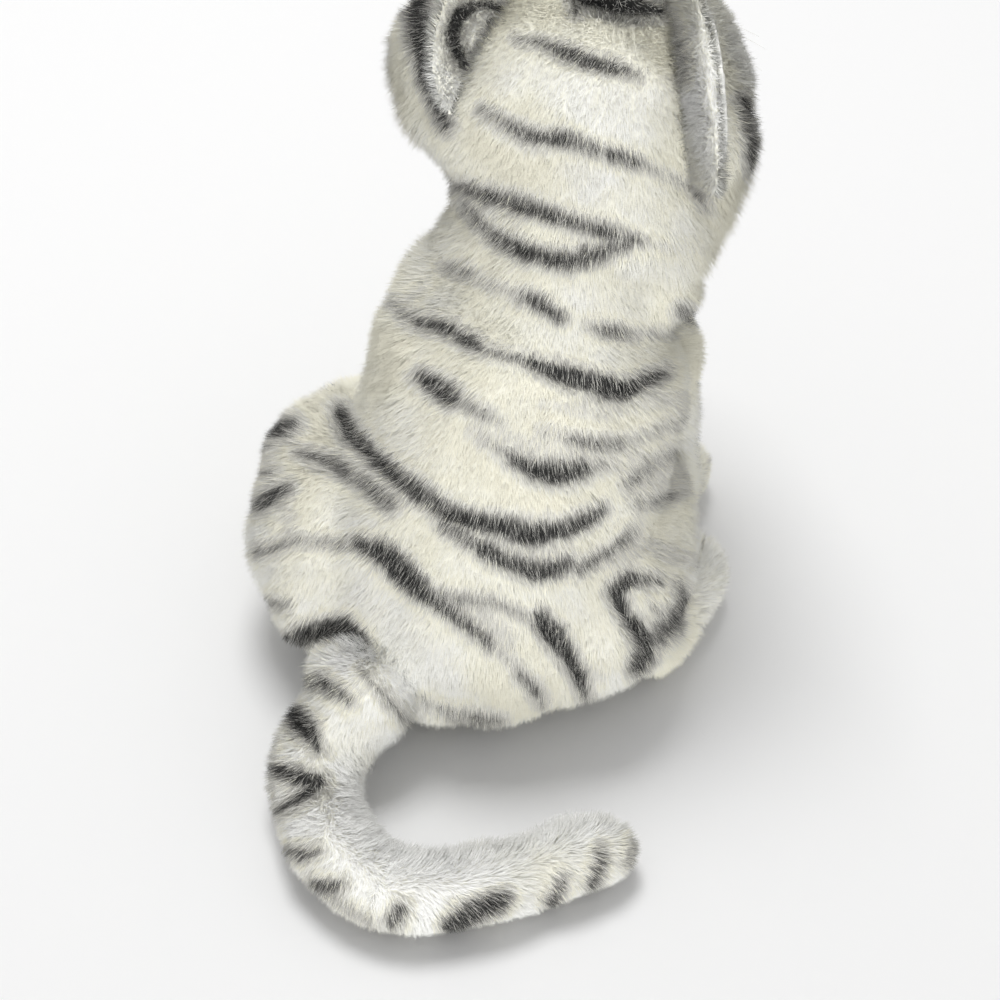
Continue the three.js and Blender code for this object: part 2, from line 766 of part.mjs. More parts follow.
function buildFrontLeg(side, floor) {
  const joint = new THREE.Group();
  const pivot = shoulder(side);
  joint.position.copy(pivot);
  const form = frontLegForm(side);
  const lifts = [0, FRONT_LEG.liftedUpTo / 2, FRONT_LEG.liftedUpTo];
  const shaft = clearOf(solid(form), [torsoForm(), thighForm(side)], pivot, X_AXIS, lifts);
  const top = solid(jointBall(shoulderJoint(side)));
  const paw = solid(footForm(PAW, pawMiddle(side))).subtract(solid(grown(form, SEAM_GAP))).subtract(floor);
  for (const [name, made] of [['front_leg_' + side, shaft.add(top)], ['front_paw_' + side, paw]]) {
    const mesh = piece(name, made, furCloth(), pivot);
    mesh.position.set(0, 0, 0);
    joint.add(mesh);
  }
  return joint;
}

function buildTail(tiger) {
  ['tail_base', 'tail_middle', 'tail_tip'].forEach((name, number) => {
    tiger.add(piece(name, tailSolid(number), furCloth(), tailJoints[number].at));
  });
}

function buildHead(tiger) {
  const head = new THREE.Group();
  head.position.copy(headMiddle);
  head.quaternion.copy(headAim);
  const form = headForm();
  const formGrown = solid(grown(form, SEAM_GAP)).add(solid(grown(collarForm(), SEAM_GAP)));
  const neckSocket = solid(jointHollow({ ...neckJoint, at: neckInHead, axis: axisInHead }));
  let skull = solid(form).add(solid(collarForm())).subtract(neckSocket).subtract(belowCollar());
  let muzzle = muzzleSolid().subtract(formGrown);
  const chin = solid(chinForm()).subtract(formGrown);
  for (const side of Object.keys(SIDES)) {
    const placed = eyePlace(side, faceDepthAt(EYE.outside, EYE.above));
    const seat = new THREE.CylinderGeometry(
      EYE.radius + SEAM_GAP, EYE.radius + SEAM_GAP, EYE.radius, EYE.sides);
    seat.translate(0, EYE.radius / 2 - SEAM_GAP, 0);
    const cut = solid(seat).transform([...placed.elements]).add(
      stemHole(EYE.stemRadius, EYE.stemLength, placed));
    skull = skull.subtract(cut);
    muzzle = muzzle.subtract(cut);
    head.add(piece('eye_' + side, eyeSolid(placed), eyePlastic()));
    head.add(piece('eye_washer_' + side, washerSolid(EYE.stemRadius, placed), washerPlastic()));
    const ear = earSolids(side);
    head.add(piece('ear_back_' + side, ear.back, furCloth(), onSide(side, earSeat(side))));
    head.add(piece('ear_lining_' + side, ear.lining, liningCloth(), onSide(side, earSeat(side))));
  }
  const nose = noseSolid();
  const noseSeat = solid(grown(noseGeometry().rotateX(Math.PI / 2), SEAM_GAP)).transform(
    [...nosePlace().elements]);
  const noseCut = noseSeat.add(stemHole(NOSE.stemRadius, NOSE.stemLength, noseInwards()));
  muzzle = muzzle.subtract(noseCut);
  head.add(piece('head', skull, furCloth()));
  head.add(piece('muzzle', muzzle, furCloth()));
  head.add(piece('chin', chin.subtract(solid(grown(geometryOf(muzzleSolid()), SEAM_GAP))), furCloth()));
  head.add(piece('nose', nose, nosePlastic()));
  head.add(piece('nose_washer', washerSolid(NOSE.stemRadius, noseInwards()), washerPlastic()));
  tiger.add(head);
}

const tiger = new THREE.Group();
buildBody(tiger);
buildTail(tiger);
buildHead(tiger);

// The part's origin is the bottom centre of its box
const middle = new THREE.Box3().setFromObject(tiger, true).getCenter(point(0, 0, 0));
tiger.position.set(-middle.x, -middle.y, 0);
const part = new THREE.Group();
part.add(tiger);

export default part;
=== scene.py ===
"""Looks of the sitting white tiger: stuffed skins, pile of mesh fibres, stripes, face, light and camera."""

import math

import bmesh
import bpy
import numpy as np
from mathutils import Matrix, Quaternion, Vector
from mathutils.bvhtree import BVHTree


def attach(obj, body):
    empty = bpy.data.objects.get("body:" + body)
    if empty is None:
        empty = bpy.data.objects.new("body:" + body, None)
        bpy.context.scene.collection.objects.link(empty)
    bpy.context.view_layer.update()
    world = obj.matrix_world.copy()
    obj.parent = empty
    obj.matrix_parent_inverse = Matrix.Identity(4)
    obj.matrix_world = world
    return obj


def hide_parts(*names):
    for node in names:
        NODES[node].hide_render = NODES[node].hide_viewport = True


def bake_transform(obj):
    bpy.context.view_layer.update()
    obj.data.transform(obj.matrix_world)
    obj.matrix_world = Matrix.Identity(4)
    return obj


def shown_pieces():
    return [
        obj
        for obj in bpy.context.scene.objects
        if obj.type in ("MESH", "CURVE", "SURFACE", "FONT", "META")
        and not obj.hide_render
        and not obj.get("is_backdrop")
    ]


MM = 0.001

# Camera, worked out from the photograph: the axis meets the picture at AXIS_PIXEL
PHOTO_SIDE = 1000
AXIS_PIXEL = (500, 545)
PIXEL_SIZE = 0.45 * MM
CAMERA_DISTANCE = 1200 * MM
CAMERA_TARGET = np.array([-6.67, -10.48, 50]) * MM
CAMERA_AZIMUTH = math.radians(192)
CAMERA_ELEVATION = math.radians(50)
CAMERA_ROLL = math.radians(4.5)
SENSOR = 36

# Places in the row frame, in millimetres
NECK_AT = np.array([-17.67, -49.48, 198])
NECK_AXIS = np.array([-0.1008, -0.4742, 0.8746])
HEAD_AT = np.array([-6.53, -81.73, 257.47])
HEAD_TURN = np.array(Quaternion((0.9966, 0.0030, -0.0697, -0.0435)).to_matrix())
NOSE_AHEAD = np.array([0, -86, -10])
SHOULDERS = np.array([[20.33, -59.48, 138], [-50.67, -59.48, 138]])
SHOULDER_BALL = 27.6
TAIL_ROOT_BALL = 23.6
TAIL_LINE = np.array([
    [30.3, 79.5, 42], [39.3, 98.7, 32], [38.0, 120.5, 22], [21.4, 146.1, 17.6], [-4.2, 158.9, 17],
    [-31.1, 151.2, 16.5], [-58.0, 134.6, 16], [-81.0, 115.4, 15.5], [-100.2, 101.3, 15]])
TAIL_SPLIT = 4
EARS = {
    "left": {
        "seat": np.array([23.22, -58.69, 300.43]), "chord": np.array([0.512, 0.533, -0.674]),
        "facing": np.array([0.749, -0.661, 0.046]), "rise": np.array([0.421, 0.528, 0.738])},
    "right": {
        "seat": np.array([-54.89, -51.79, 289.46]), "chord": np.array([-0.209, 0.597, -0.775]),
        "facing": np.array([-0.835, -0.521, -0.176]), "rise": np.array([-0.509, 0.610, 0.607])},
}

# How far each ear sits round the head from where the solids have it, in degrees about the head's middle
EAR_TURNS = {"left": (8.0, 3.1, 15.1), "right": (-6.5, -0.5, 10.4)}
# How an ear's outline differs from the solid's: longer and higher, tilted in degrees, and squarer
EAR_SCALES = {"left": (1.08, 1.12), "right": (1.2, 0.96)}
EAR_TILTS = {"left": 0.0, "right": 20.7}
EAR_SQUARENESS = {"left": 2.3, "right": 3.2}
EAR_LOW_END = 40
EAR_HALF = 40.5
EAR_OUT = 1.4
EAR_FLARE = (0.97, 1.55)
LINING_SCALES = {"left": (1.14, 1.14, 1.0), "right": (1.16, 1.18, 1.15)}
LINING_CUP = 3.0
# How deep an ear's upper and lower end sink into the head
EAR_ROOTS = {"left": (6, 4), "right": (12, 4)}
RIM_COUNT = 56

# Stripes seen in the photograph, with some marks of painted shade among them: strength, then x, y and half width of
# each point, in its pixels
BODY_STROKES = (
    (1, 585, -8, 14, 620, 2, 14, 660, 12, 7), (0.55, 573, -4, 6, 576, 12, 5),
    (0.9, 518, 39, 2, 540, 43, 4, 566, 53, 7, 600, 65, 6, 640, 76, 3),
    (0.9, 482, 110, 3, 505, 125, 6, 530, 138, 7, 565, 140, 8, 600, 152, 7, 634, 163, 5),
    # The second stroke on the next line is painted shade in the fold where the head meets the neck.
    (0.5, 634, 163, 5, 660, 172, 4, 690, 186, 3), (0.25, 640, 244, 4, 670, 248, 4, 700, 246, 4),
    (0.62, 450, 184, 5, 470, 190, 7, 490, 196, 8),
    (0.85, 488, 196, 8, 520, 206, 8, 560, 219, 8, 600, 232, 8, 640, 243, 5),
    (0.68, 462, 206, 4, 478, 222, 6, 496, 238, 7),
    (0.95, 494, 236, 7, 530, 254, 9, 570, 262, 10, 600, 254, 8, 636, 243, 4),
    (0.7, 446, 268, 5, 462, 272, 7, 474, 277, 5), (0.3, 474, 277, 6, 492, 288, 5, 515, 293, 4),
    (0.95, 520, 296, 3, 537, 303, 6, 550, 312, 5, 562, 320, 4), (0.85, 590, 327, 3, 612, 331, 6, 636, 335, 4),
    (0.3, 640, 334, 4, 668, 335, 4, 690, 322, 4), (0.6, 682, 312, 8, 696, 320, 8),
    (0.5, 393, 303, 5, 404, 314, 6, 416, 320, 6), (0.85, 414, 320, 5, 432, 325, 8, 450, 330, 7),
    (0.75, 456, 336, 6, 470, 342, 8, 482, 350, 6), (0.5, 484, 350, 7, 505, 356, 8, 530, 362, 8),
    (1, 530, 362, 7, 560, 374, 11, 598, 384, 12, 628, 391, 11, 646, 381, 8, 664, 372, 6),
    (0.9, 420, 376, 7, 434, 385, 11, 450, 397, 9), (0.42, 455, 402, 7, 478, 412, 7, 500, 424, 4),
    (0.45, 540, 433, 4, 565, 438, 5, 580, 441, 5), (0.75, 575, 441, 5, 600, 446, 6, 620, 444, 5),
    (0.45, 622, 443, 5, 655, 432, 5, 690, 418, 4), (0.55, 480, 438, 3, 500, 450, 6, 515, 461, 7),
    (0.95, 515, 461, 8, 535, 471, 10, 560, 474, 11, 585, 470, 9), (0.55, 585, 470, 6, 600, 467, 6, 614, 464, 4),
    (0.85, 341, 412, 7, 352, 435, 10, 375, 458, 10, 400, 480, 10),
    (0.8, 400, 480, 10, 425, 498, 10, 450, 514, 10),
    (1, 450, 514, 9, 490, 525, 10, 535, 535, 12, 565, 530, 9, 590, 520, 6, 604, 510, 3),
    (0.55, 300, 452, 5, 335, 464, 8, 365, 484, 9, 390, 505, 8), (0.6, 440, 524, 5, 462, 538, 7, 482, 549, 7),
    (0.9, 482, 549, 7, 505, 562, 8, 536, 573, 9, 560, 568, 8, 572, 562, 5),
    (0.65, 578, 572, 4, 600, 558, 6, 622, 542, 6, 636, 526, 3), (0.45, 258, 552, 8, 300, 540, 6, 345, 545, 7),
    (1, 354, 543, 6, 378, 552, 11, 394, 566, 13, 418, 588, 10),
    (0.8, 418, 590, 9, 440, 607, 8, 470, 628, 8, 492, 646, 7), (0.45, 492, 646, 6, 512, 662, 5),
    (0.8, 520, 676, 4, 532, 686, 6, 542, 700, 4),
    (0.45, 420, 590, 7, 455, 600, 7, 490, 602, 6, 520, 615, 6, 535, 628, 4),
    (0.95, 540, 618, 8, 554, 636, 12, 568, 656, 10, 579, 676, 8, 585, 694, 5),
    (1, 657, 581, 4, 632, 580, 7, 617, 592, 8, 622, 608, 7),
    (0.95, 620, 606, 5, 632, 622, 8, 645, 640, 10, 645, 654, 11, 636, 672, 7),
    (0.7, 683, 588, 5, 682, 606, 9, 672, 624, 11, 656, 640, 10), (0.3, 652, 606, 6, 662, 612, 8),
    (0.5, 628, 486, 6, 650, 466, 6, 675, 452, 6, 694, 450, 5), (0.5, 640, 505, 5, 660, 500, 6, 684, 490, 5),
    (0.85, 268, 433, 9, 281, 428, 11, 292, 423, 7), (0.5, 258, 450, 7, 266, 446, 7),
    (0.75, 260, 506, 8, 270, 498, 11, 282, 490, 9), (0.5, 268, 602, 7, 285, 606, 4),
    (0.95, 288, 640, 9, 315, 632, 10, 346, 628, 12, 358, 642, 11, 364, 662, 7),
    # The first stroke on the next line is painted shade in the crease where the tail meets the rump.
    (0.6, 366, 672, 4, 384, 694, 5, 398, 710, 5, 412, 724, 4), (0.7, 424, 703, 3, 448, 713, 5, 470, 718, 6),
    (0.9, 470, 718, 6, 486, 722, 6, 502, 723, 4), (0.5, 250, 470, 4, 262, 474, 5, 276, 470, 3),
    # From here to the table's end, the faint broad strokes are painted shade in the dips between the stripes.
    (0.12, 430, 594, 8, 470, 612, 12, 512, 640, 10), (0.08, 470, 432, 10, 520, 442, 12, 560, 456, 8),
    (0.1, 640, 462, 16, 668, 488, 18, 690, 470, 14), (0.08, 600, 566, 8, 648, 546, 12, 690, 560, 12),
    (0.08, 540, 404, 8, 600, 414, 12, 680, 398, 14), (0.08, 268, 455, 12, 278, 500, 14, 290, 530, 12),
    (0.07, 426, 284, 12, 402, 306, 10), (0.07, 560, 640, 10, 600, 680, 12))
HEAD_SIDE_STROKES = (
    (1, 420, -10, 12, 417, 10, 12, 419, 40, 11, 427, 75, 9, 437, 100, 8, 446, 128, 6),
    # The second stroke on the next line is painted shadow under the lower end of the right ear.
    (1, 744, 100, 5, 751, 120, 7, 754, 146, 8, 753, 170, 5), (0.5, 700, 196, 4, 706, 208, 5))
TAIL_STROKES = (
    (0.9, 300, 676, 6, 322, 684, 8, 350, 702, 5), (0.9, 292, 712, 10, 306, 728, 12, 318, 748, 7),
    (0.95, 272, 768, 6, 292, 776, 9, 318, 783, 10), (0.8, 318, 786, 9, 296, 800, 7, 276, 812, 5),
    (0.7, 285, 852, 6, 304, 856, 7, 318, 852, 4), (0.8, 312, 884, 6, 328, 888, 8, 342, 884, 5),
    (0.75, 392, 922, 9, 402, 910, 6), (0.95, 452, 926, 10, 474, 912, 12, 496, 902, 9, 506, 896, 5),
    (0.7, 552, 904, 7, 562, 884, 5, 566, 876, 3), (0.75, 592, 886, 7, 602, 862, 6, 600, 846, 4),
    (0.5, 630, 866, 6, 636, 850, 6, 634, 838, 4), (0.45, 316, 738, 5, 326, 752, 4),
    (0.3, 322, 884, 6, 345, 908, 8, 372, 925, 7), (0.25, 272, 740, 5, 268, 790, 6, 274, 840, 6),
    # The next stroke is painted shade in the crease where the tail meets the rump.
    (0.6, 362, 672, 4, 380, 692, 5, 396, 710, 5, 410, 724, 4))
EAR_STROKES = {
    "left": (
        (0.95, 500, 8, 6, 480, 4, 7, 462, 12, 9, 453, 30, 9, 456, 50, 10, 464, 64, 8),
        (0.6, 490, 20, 6, 487, 36, 6, 480, 50, 5), (0.45, 470, 52, 5, 474, 60, 5)),
    "right": (
        (0.3, 668, 14, 8, 676, 50, 12, 680, 80, 8), (0.5, 668, 34, 2, 674, 28, 3, 680, 26, 2),
        # The last stroke on the next line is painted shadow under the lower end of the ear.
        (0.5, 672, 60, 2, 680, 58, 3, 686, 60, 2), (0.7, 696, 196, 5, 703, 206, 5, 712, 210, 4)),
}

# Where the photograph shows the skin fuller: x, y and radius in its pixels, and millimetres outwards
BODY_SWELLS = (
    (392, 30, 90, 4), (428, 235, 70, 7), (752, 162, 62, 8), (742, 248, 44, -6), (684, 296, 40, 8),
    (272, 420, 52, 6), (385, 330, 50, 2), (300, 645, 52, 8), (468, 740, 84, -6), (556, 738, 70, -10),
    (726, 590, 60, 4))
LEG_SWELLS = ((712, 485, 55, 4),)

# Stripes that the picture doesn't show, in millimetres and the same on both sides. On the crown: sideways,
# and back from the eyes. On the cheeks: round from the nose, and up. On the flanks: back, and up.
# On the muzzle: sideways, and up.
CROWN_ARC = 1.08
CROWN_STROKES = (
    (0.95, 0, 45, 1.8, 0, 58, 2.4, 0, 70, 1.2), (0.9, 4, 51, 1.4, 11, 50, 2.6, 20, 44, 1.2),
    (0.95, 3, 63, 1.6, 13, 62, 3.2, 27, 54, 1.4), (0.95, 2, 77, 1.8, 16, 76, 3.6, 34, 66, 1.6),
    (0.95, 5, 92, 1.6, 22, 92, 3.6, 40, 84, 1.8), (0.9, 14, 31, 1.4, 25, 35, 2.8, 36, 30, 1.2))
CHEEK_ARC = 1.13
CHEEK_STROKES = (
    (0.95, 60, 24, 1.2, 70, 13, 3.2, 82, -4, 3.8, 88, -22, 1.8),
    (0.9, 48, 8, 1.4, 60, -4, 2.8, 70, -20, 3.2, 74, -34, 1.6),
    (0.85, 44, -10, 1.2, 54, -20, 2.4, 60, -34, 1.4), (0.85, 36, 10, 1.4, 44, 11, 2, 53, 14, 1))
FLANK_STROKES = (
    (0.85, -34, 100, 2, -44, 84, 3.6, -50, 64, 2), (0.8, -16, 66, 2, -24, 50, 3.4, -26, 34, 2),
    (0.75, 4, 48, 2, 2, 34, 3, 6, 22, 1.6), (0.8, -46, 196, 1.6, -56, 184, 3, -70, 178, 1.6),
    (0.8, -50, 170, 1.6, -62, 160, 3, -78, 158, 1.6), (0.6, -30, 40, 2, -33, 24, 2.4, -32, 12, 1.6),
    (0.6, -48, 32, 1.6, -50, 20, 2.2, -49, 10, 1.4))
MUZZLE_STROKES = tuple((0.75, x, z, 0.9, x + 0.6, z, 0.9) for x, z in (
    (13, -14), (18, -12.5), (23, -12), (14.5, -19), (20, -18), (25, -18), (17, -24), (22, -24)))
LEG_BANDS = ((56, 3.0), (76, 3.6), (97, 3.8), (118, 3.6))
BAND_RISE = 0.12
# Each foot's middle sideways, and the front of it
TOES = ((34.3, -100), (-60.7, -100), (81.3, -42), (-83.7, -42))
TOE_SEAMS = (-8.5, 0, 8.5)
LIP = np.array([[0, -31], [5, -34], [11, -35.5], [17, -33.5], [22, -29]])
MOUTH = (np.array([[0, -19], [0, -23], [0, -27], [0, -31]]), LIP, LIP * [-1, 1])
WHISKERS = ((16, -13, 0.10), (21, -13, 0.02), (18, -19, -0.06), (23, -19, -0.14))
WHISKER_LENGTH = 44
WHISKER_STEPS = 14
WHISKER_SAG = np.array([0, 7, -5])
EAR_FOLDS = ((-9, 0.10), (5, -0.14))

# Shades of the pile, from clean white over cream to black, as linear colours. The tail and ears draw on the
# cleanest whites, partly as painted light.
SHADES = (
    (0.95, 0.95, 0.92), (0.90, 0.90, 0.86), (0.85, 0.85, 0.80), (0.84, 0.835, 0.775), (0.85, 0.84, 0.75),
    (0.855, 0.84, 0.725), (0.85, 0.83, 0.70), (0.83, 0.805, 0.67), (0.77, 0.765, 0.70), (0.69, 0.68, 0.63),
    (0.585, 0.575, 0.53), (0.475, 0.465, 0.43), (0.36, 0.355, 0.33), (0.26, 0.255, 0.24), (0.175, 0.17, 0.16),
    (0.11, 0.108, 0.10), (0.065, 0.064, 0.06), (0.040, 0.040, 0.038), (0.026, 0.026, 0.025), (0.018, 0.018, 0.017),
)
WHITES = 8
FROSTY = 0.24
SEED = 7
EYE_RADIUS = 9.5
EYE_RINGS = (
    (0.0, (0.004, 0.004, 0.005)), (0.53, (0.004, 0.004, 0.005)), (0.56, (0.22, 0.42, 0.52)),
    (0.66, (0.11, 0.30, 0.46)), (0.80, (0.035, 0.13, 0.26)), (0.86, (0.006, 0.01, 0.016)),
    (1.0, (0.004, 0.004, 0.004)))

# Mottled materials: dark and light colour, size of the specks in millimetres, roughness, grain and sheen
MOTTLED = {
    "mouth_thread": ((0.012, 0.012, 0.012), (0.04, 0.038, 0.035), 0.8, 0.7, 0.1, 0),
    "whisker_nylon": ((0.70, 0.70, 0.66), (0.86, 0.86, 0.82), 6, 0.3, 0, 0),
    "ear_lining_velour": ((0.54, 0.53, 0.49), (0.68, 0.67, 0.62), 5, 0.9, 0.25, 0.4),
    "ear_piping_cloth": ((0.74, 0.74, 0.70), (0.86, 0.86, 0.83), 2, 0.8, 0.15, 0.2),
    "nose_plastic": ((0.62, 0.26, 0.25), (0.80, 0.42, 0.39), 5, 0.32, 0.2, 0),
    "pouch_cloth": ((0.58, 0.56, 0.50), (0.74, 0.72, 0.66), 1.5, 0.9, 0.3, 0),
    "washer_plastic": ((0.66, 0.66, 0.62), (0.8, 0.8, 0.77), 6, 0.4, 0, 0),
}
WHITE_BACKING = (0.82, 0.81, 0.72, 1)
DARK_BACKING = (0.03, 0.03, 0.03, 1)

# Lengths of the pile and depths of the skin, in millimetres
BODY_PILE, FACE_CUT, CHEEK_EXTRA = 7.6, 3.8, 4
LEG_PILE, PAW_CUT = 7.5, 2.5
TAIL_PILE, TAIL_INSET = 7.4, 4.0
EAR_PILE, EAR_INSET = 6.0, 2.5
PILE_SINK = 0.55
VALLEY_DEPTH = 2.2
TOE_DEPTH = 1.8
LID_RISE = 3.2

# Uneven waves, each layer with its size and height: the stuffing's lumps, warmer and colder whites, and
# the frayed edges of stripes
LUMPS = ((24, 2.0), (12, 0.9))
WARMTH = ((34, 0.9), (9, 0.4))
FRAY = {
    "picture": ((4, 2.0), (14, 2.4)), "face": ((4, 0.9), (12, 0.8)),
    "flank": ((4, 1.0), (12, 1.2)), "leg": ((4, 1.0), (14, 1.6))}

# How the fibres grow: their lean in degrees with its spread, and how far length and width vary. None
# comes lower than LOWEST millimetres, and no piece has more than MOST_FIBRES.
TUFT_SIZE = 3.8
TUFT_PULL = 0.22
FIBRE_LEAN = (38, 9)
FIBRE_LENGTHS = (0.78, 1.08)
FIBRE_WIDTHS = (0.75, 1.25)
LOWEST = 0.2
MOST_FIBRES = 65000

# Lights: name, where it stands, its size in metres and its watts. The key lights everything, the others
# only the toy.
LIGHTS = (
    ("key", (0.18, -0.22, 0.96), 0.9, 26), ("fill", (-0.20, 0.90, 0.36), 1.2, 40),
    ("side", (-0.95, 0.10, 0.30), 1.2, 7), ("other_side", (0.95, 0.25, 0.30), 1.2, 5),
    ("front", (0.25, -0.92, 0.30), 1.2, 17))
LIGHT_DISTANCE = 2.2
LIGHT_AIM = Vector((0, 0, 0.12))
WORLD_STRENGTH = 0.55
FLOOR_HALF = 4000
FLOOR_COLOUR = (0.95, 0.95, 0.95, 1)


# Numbers from places

def ease(low, high, value):
    share = np.clip((value - low) / (high - low), 0, 1)
    return share * share * (3 - 2 * share)


def unit(vectors):
    return vectors / np.maximum(np.linalg.norm(vectors, axis=-1, keepdims=True), 1e-9)


def scrambled(cells, seed):
    """A number from 0 to 1 for each whole-number cell of space."""
    n = cells.astype(np.int64)
    mixed = (n[..., 0] * 73856093) ^ (n[..., 1] * 19349663) ^ (n[..., 2] * 83492791) ^ (seed * 2654435761)
    mixed = (mixed ^ (mixed >> 13)) * 1274126177 & 0xFFFFFFFF
    mixed = (mixed ^ (mixed >> 16)) * 2246822519 & 0xFFFFFFFF
    return ((mixed ^ (mixed >> 15)) & 0xFFFFFF) / 0x1000000


def waves(points, size, seed):
    """Smooth noise from -1 to 1 whose lumps are about size wide. Points and size in millimetres."""
    scaled = points / size
    cell = np.floor(scaled)
    part = scaled - cell
    part = part * part * (3 - 2 * part)
    total = np.zeros(len(points))
    for corner in np.ndindex(2, 2, 2):
        weight = np.prod(np.where(np.array(corner) == 1, part, 1 - part), axis=1)
        total += weight * scrambled(cell + corner, seed)
    return total * 2 - 1


def layered_waves(points, layers, seed):
    """Waves of several sizes, each with its own height."""
    return sum(waves(points, size, seed + k) * height for k, (size, height) in enumerate(layers))


def nearest_tuft(points, size, seed):
    """The middle of the tuft that each point belongs to, and a whole-number name for it."""
    cell = np.floor(points / size)
    best = np.full(len(points), np.inf)
    middle = np.zeros_like(points)
    name = np.zeros_like(points)
    for step in np.ndindex(3, 3, 3):
        there = cell + np.array(step) - 1
        shift = np.stack([scrambled(there, seed + k) for k in range(3)], axis=1)
        at = (there + shift) * size
        distance = ((at - points) ** 2).sum(1)
        closer = distance < best
        best[closer] = distance[closer]
        middle[closer] = at[closer]
        name[closer] = there[closer]
    return middle, name


def beside_segment(places, start, end):
    """How far along a segment places are, from 0 to 1, and how far from it."""
    along = end - start
    share = np.clip((places - start) @ along / max(along @ along, 1e-9), 0, 1)
    return share, np.linalg.norm(places - start - share[:, None] * along, axis=1)


# Camera

TOWARDS_CAMERA = np.array([
    math.sin(CAMERA_AZIMUTH) * math.cos(CAMERA_ELEVATION),
    -math.cos(CAMERA_AZIMUTH) * math.cos(CAMERA_ELEVATION),
    math.sin(CAMERA_ELEVATION)])
LEVEL_RIGHT = np.array([math.cos(CAMERA_AZIMUTH), math.sin(CAMERA_AZIMUTH), 0])
LEVEL_UP = np.cross(TOWARDS_CAMERA, LEVEL_RIGHT)
CAMERA_X = math.cos(CAMERA_ROLL) * LEVEL_RIGHT + math.sin(CAMERA_ROLL) * LEVEL_UP
CAMERA_Y = math.cos(CAMERA_ROLL) * LEVEL_UP - math.sin(CAMERA_ROLL) * LEVEL_RIGHT
CAMERA_AT = CAMERA_TARGET + TOWARDS_CAMERA * CAMERA_DISTANCE


def photo_pixels(points):
    """Where points in millimetres show in the photograph."""
    offset = points * MM - CAMERA_TARGET
    zoom = CAMERA_DISTANCE / (CAMERA_DISTANCE - offset @ TOWARDS_CAMERA) / PIXEL_SIZE
    return np.stack([AXIS_PIXEL[0] + offset @ CAMERA_X * zoom, AXIS_PIXEL[1] - offset @ CAMERA_Y * zoom], axis=1)


def towards_camera(points, normals):
    """1 where the surface faces the camera, 0 edge on and -1 facing away."""
    return (normals * unit(CAMERA_AT / MM - points)).sum(1)


def placed(name, data):
    """A new object in the scene."""
    obj = bpy.data.objects.new(name, data)
    bpy.context.scene.collection.objects.link(obj)
    return obj


def make_camera():
    data = bpy.data.cameras.new("photo_camera")
    camera = placed("photo_camera", data)
    data.sensor_width = SENSOR
    data.lens = SENSOR * CAMERA_DISTANCE / (PHOTO_SIDE * PIXEL_SIZE)
    data.shift_y = (AXIS_PIXEL[1] - PHOTO_SIDE / 2) / PHOTO_SIDE
    rows = [[CAMERA_X[k], CAMERA_Y[k], TOWARDS_CAMERA[k], CAMERA_AT[k]] for k in range(3)]
    camera.matrix_world = Matrix(rows + [[0, 0, 0, 1]])
    bpy.context.scene.camera = camera


# Meshes

def vectors_of(items, what):
    found = np.zeros(len(items) * 3, np.float32)
    items.foreach_get(what, found)
    return found.reshape(-1, 3).astype(float)


def mesh_arrays(mesh):
    """Points in millimetres and triangles of a mesh."""
    mesh.calc_loop_triangles()
    corners = np.zeros(len(mesh.loop_triangles) * 3, np.int32)
    mesh.loop_triangles.foreach_get("vertices", corners)
    return vectors_of(mesh.vertices, "co") / MM, corners.reshape(-1, 3)


def vertex_normals(mesh):
    return vectors_of(mesh.vertex_normals, "vector")


def points_and_normals(obj):
    return mesh_arrays(obj.data)[0], vertex_normals(obj.data)


def mesh_tree(mesh):
    points, corners = mesh_arrays(mesh)
    return BVHTree.FromPolygons(points.tolist(), corners.tolist())


def new_mesh(name, points, faces):
    """A mesh in the scene. Points in millimetres, faces as lists of the same or mixed lengths."""
    mesh = bpy.data.meshes.new(name)
    mesh.from_pydata((np.asarray(points) * MM).tolist(), [], [list(map(int, f)) for f in faces])
    return placed(name, mesh)


def fill_in(items, what, values, kind=np.float32):
    items.foreach_set(what, values.astype(kind).ravel())


def move_points(obj, points):
    fill_in(obj.data.vertices, "co", points * MM)
    obj.data.update()


def ball_arrays(at, radius):
    mesh = bpy.data.meshes.new("ball")
    bm = bmesh.new()
    bmesh.ops.create_icosphere(bm, subdivisions=3, radius=radius * MM)
    bm.to_mesh(mesh)
    bm.free()
    points, corners = mesh_arrays(mesh)
    bpy.data.meshes.remove(mesh)
    return points + at, corners


def tube_arrays(path, radii, beside, closed=False, sides=8):
    """Points and faces of a tube along a path. beside is never along the path."""
    path = np.asarray(path, float)
    along = unit(np.roll(path, -1, axis=0) - np.roll(path, 1, axis=0) if closed else np.gradient(path, axis=0))
    out = unit(np.cross(along, beside))
    up = np.cross(out, along)
    angles = np.arange(sides) * 2 * math.pi / sides
    ring = out[:, None] * np.cos(angles)[None, :, None] + up[:, None] * np.sin(angles)[None, :, None]
    points = (path[:, None] + ring * np.broadcast_to(radii, len(path))[:, None, None]).reshape(-1, 3)
    faces = []
    for k in range(len(path) if closed else len(path) - 1):
        here, there = k * sides, (k + 1) % len(path) * sides
        faces += [[here + j, there + j, there + (j + 1) % sides, here + (j + 1) % sides] for j in range(sides)]
    if not closed:
        faces += [list(range(sides)), list(range(len(path) * sides - 1, (len(path) - 1) * sides - 1, -1))]
    return points, faces


def joined_parts(parts):
    """Several sets of points and faces as one."""
    points, faces, start = [], [], 0
    for part_points, part_faces in parts:
        points.append(part_points)
        faces += [[start + k for k in face] for face in part_faces]
        start += len(part_points)
    return np.concatenate(points), faces


def joined_mesh(name, parts, material):
    obj = new_mesh(name, *joined_parts(parts))
    obj.data.materials.append(material)
    for polygon in obj.data.polygons:
        polygon.use_smooth = len(polygon.vertices) == 4
    return obj


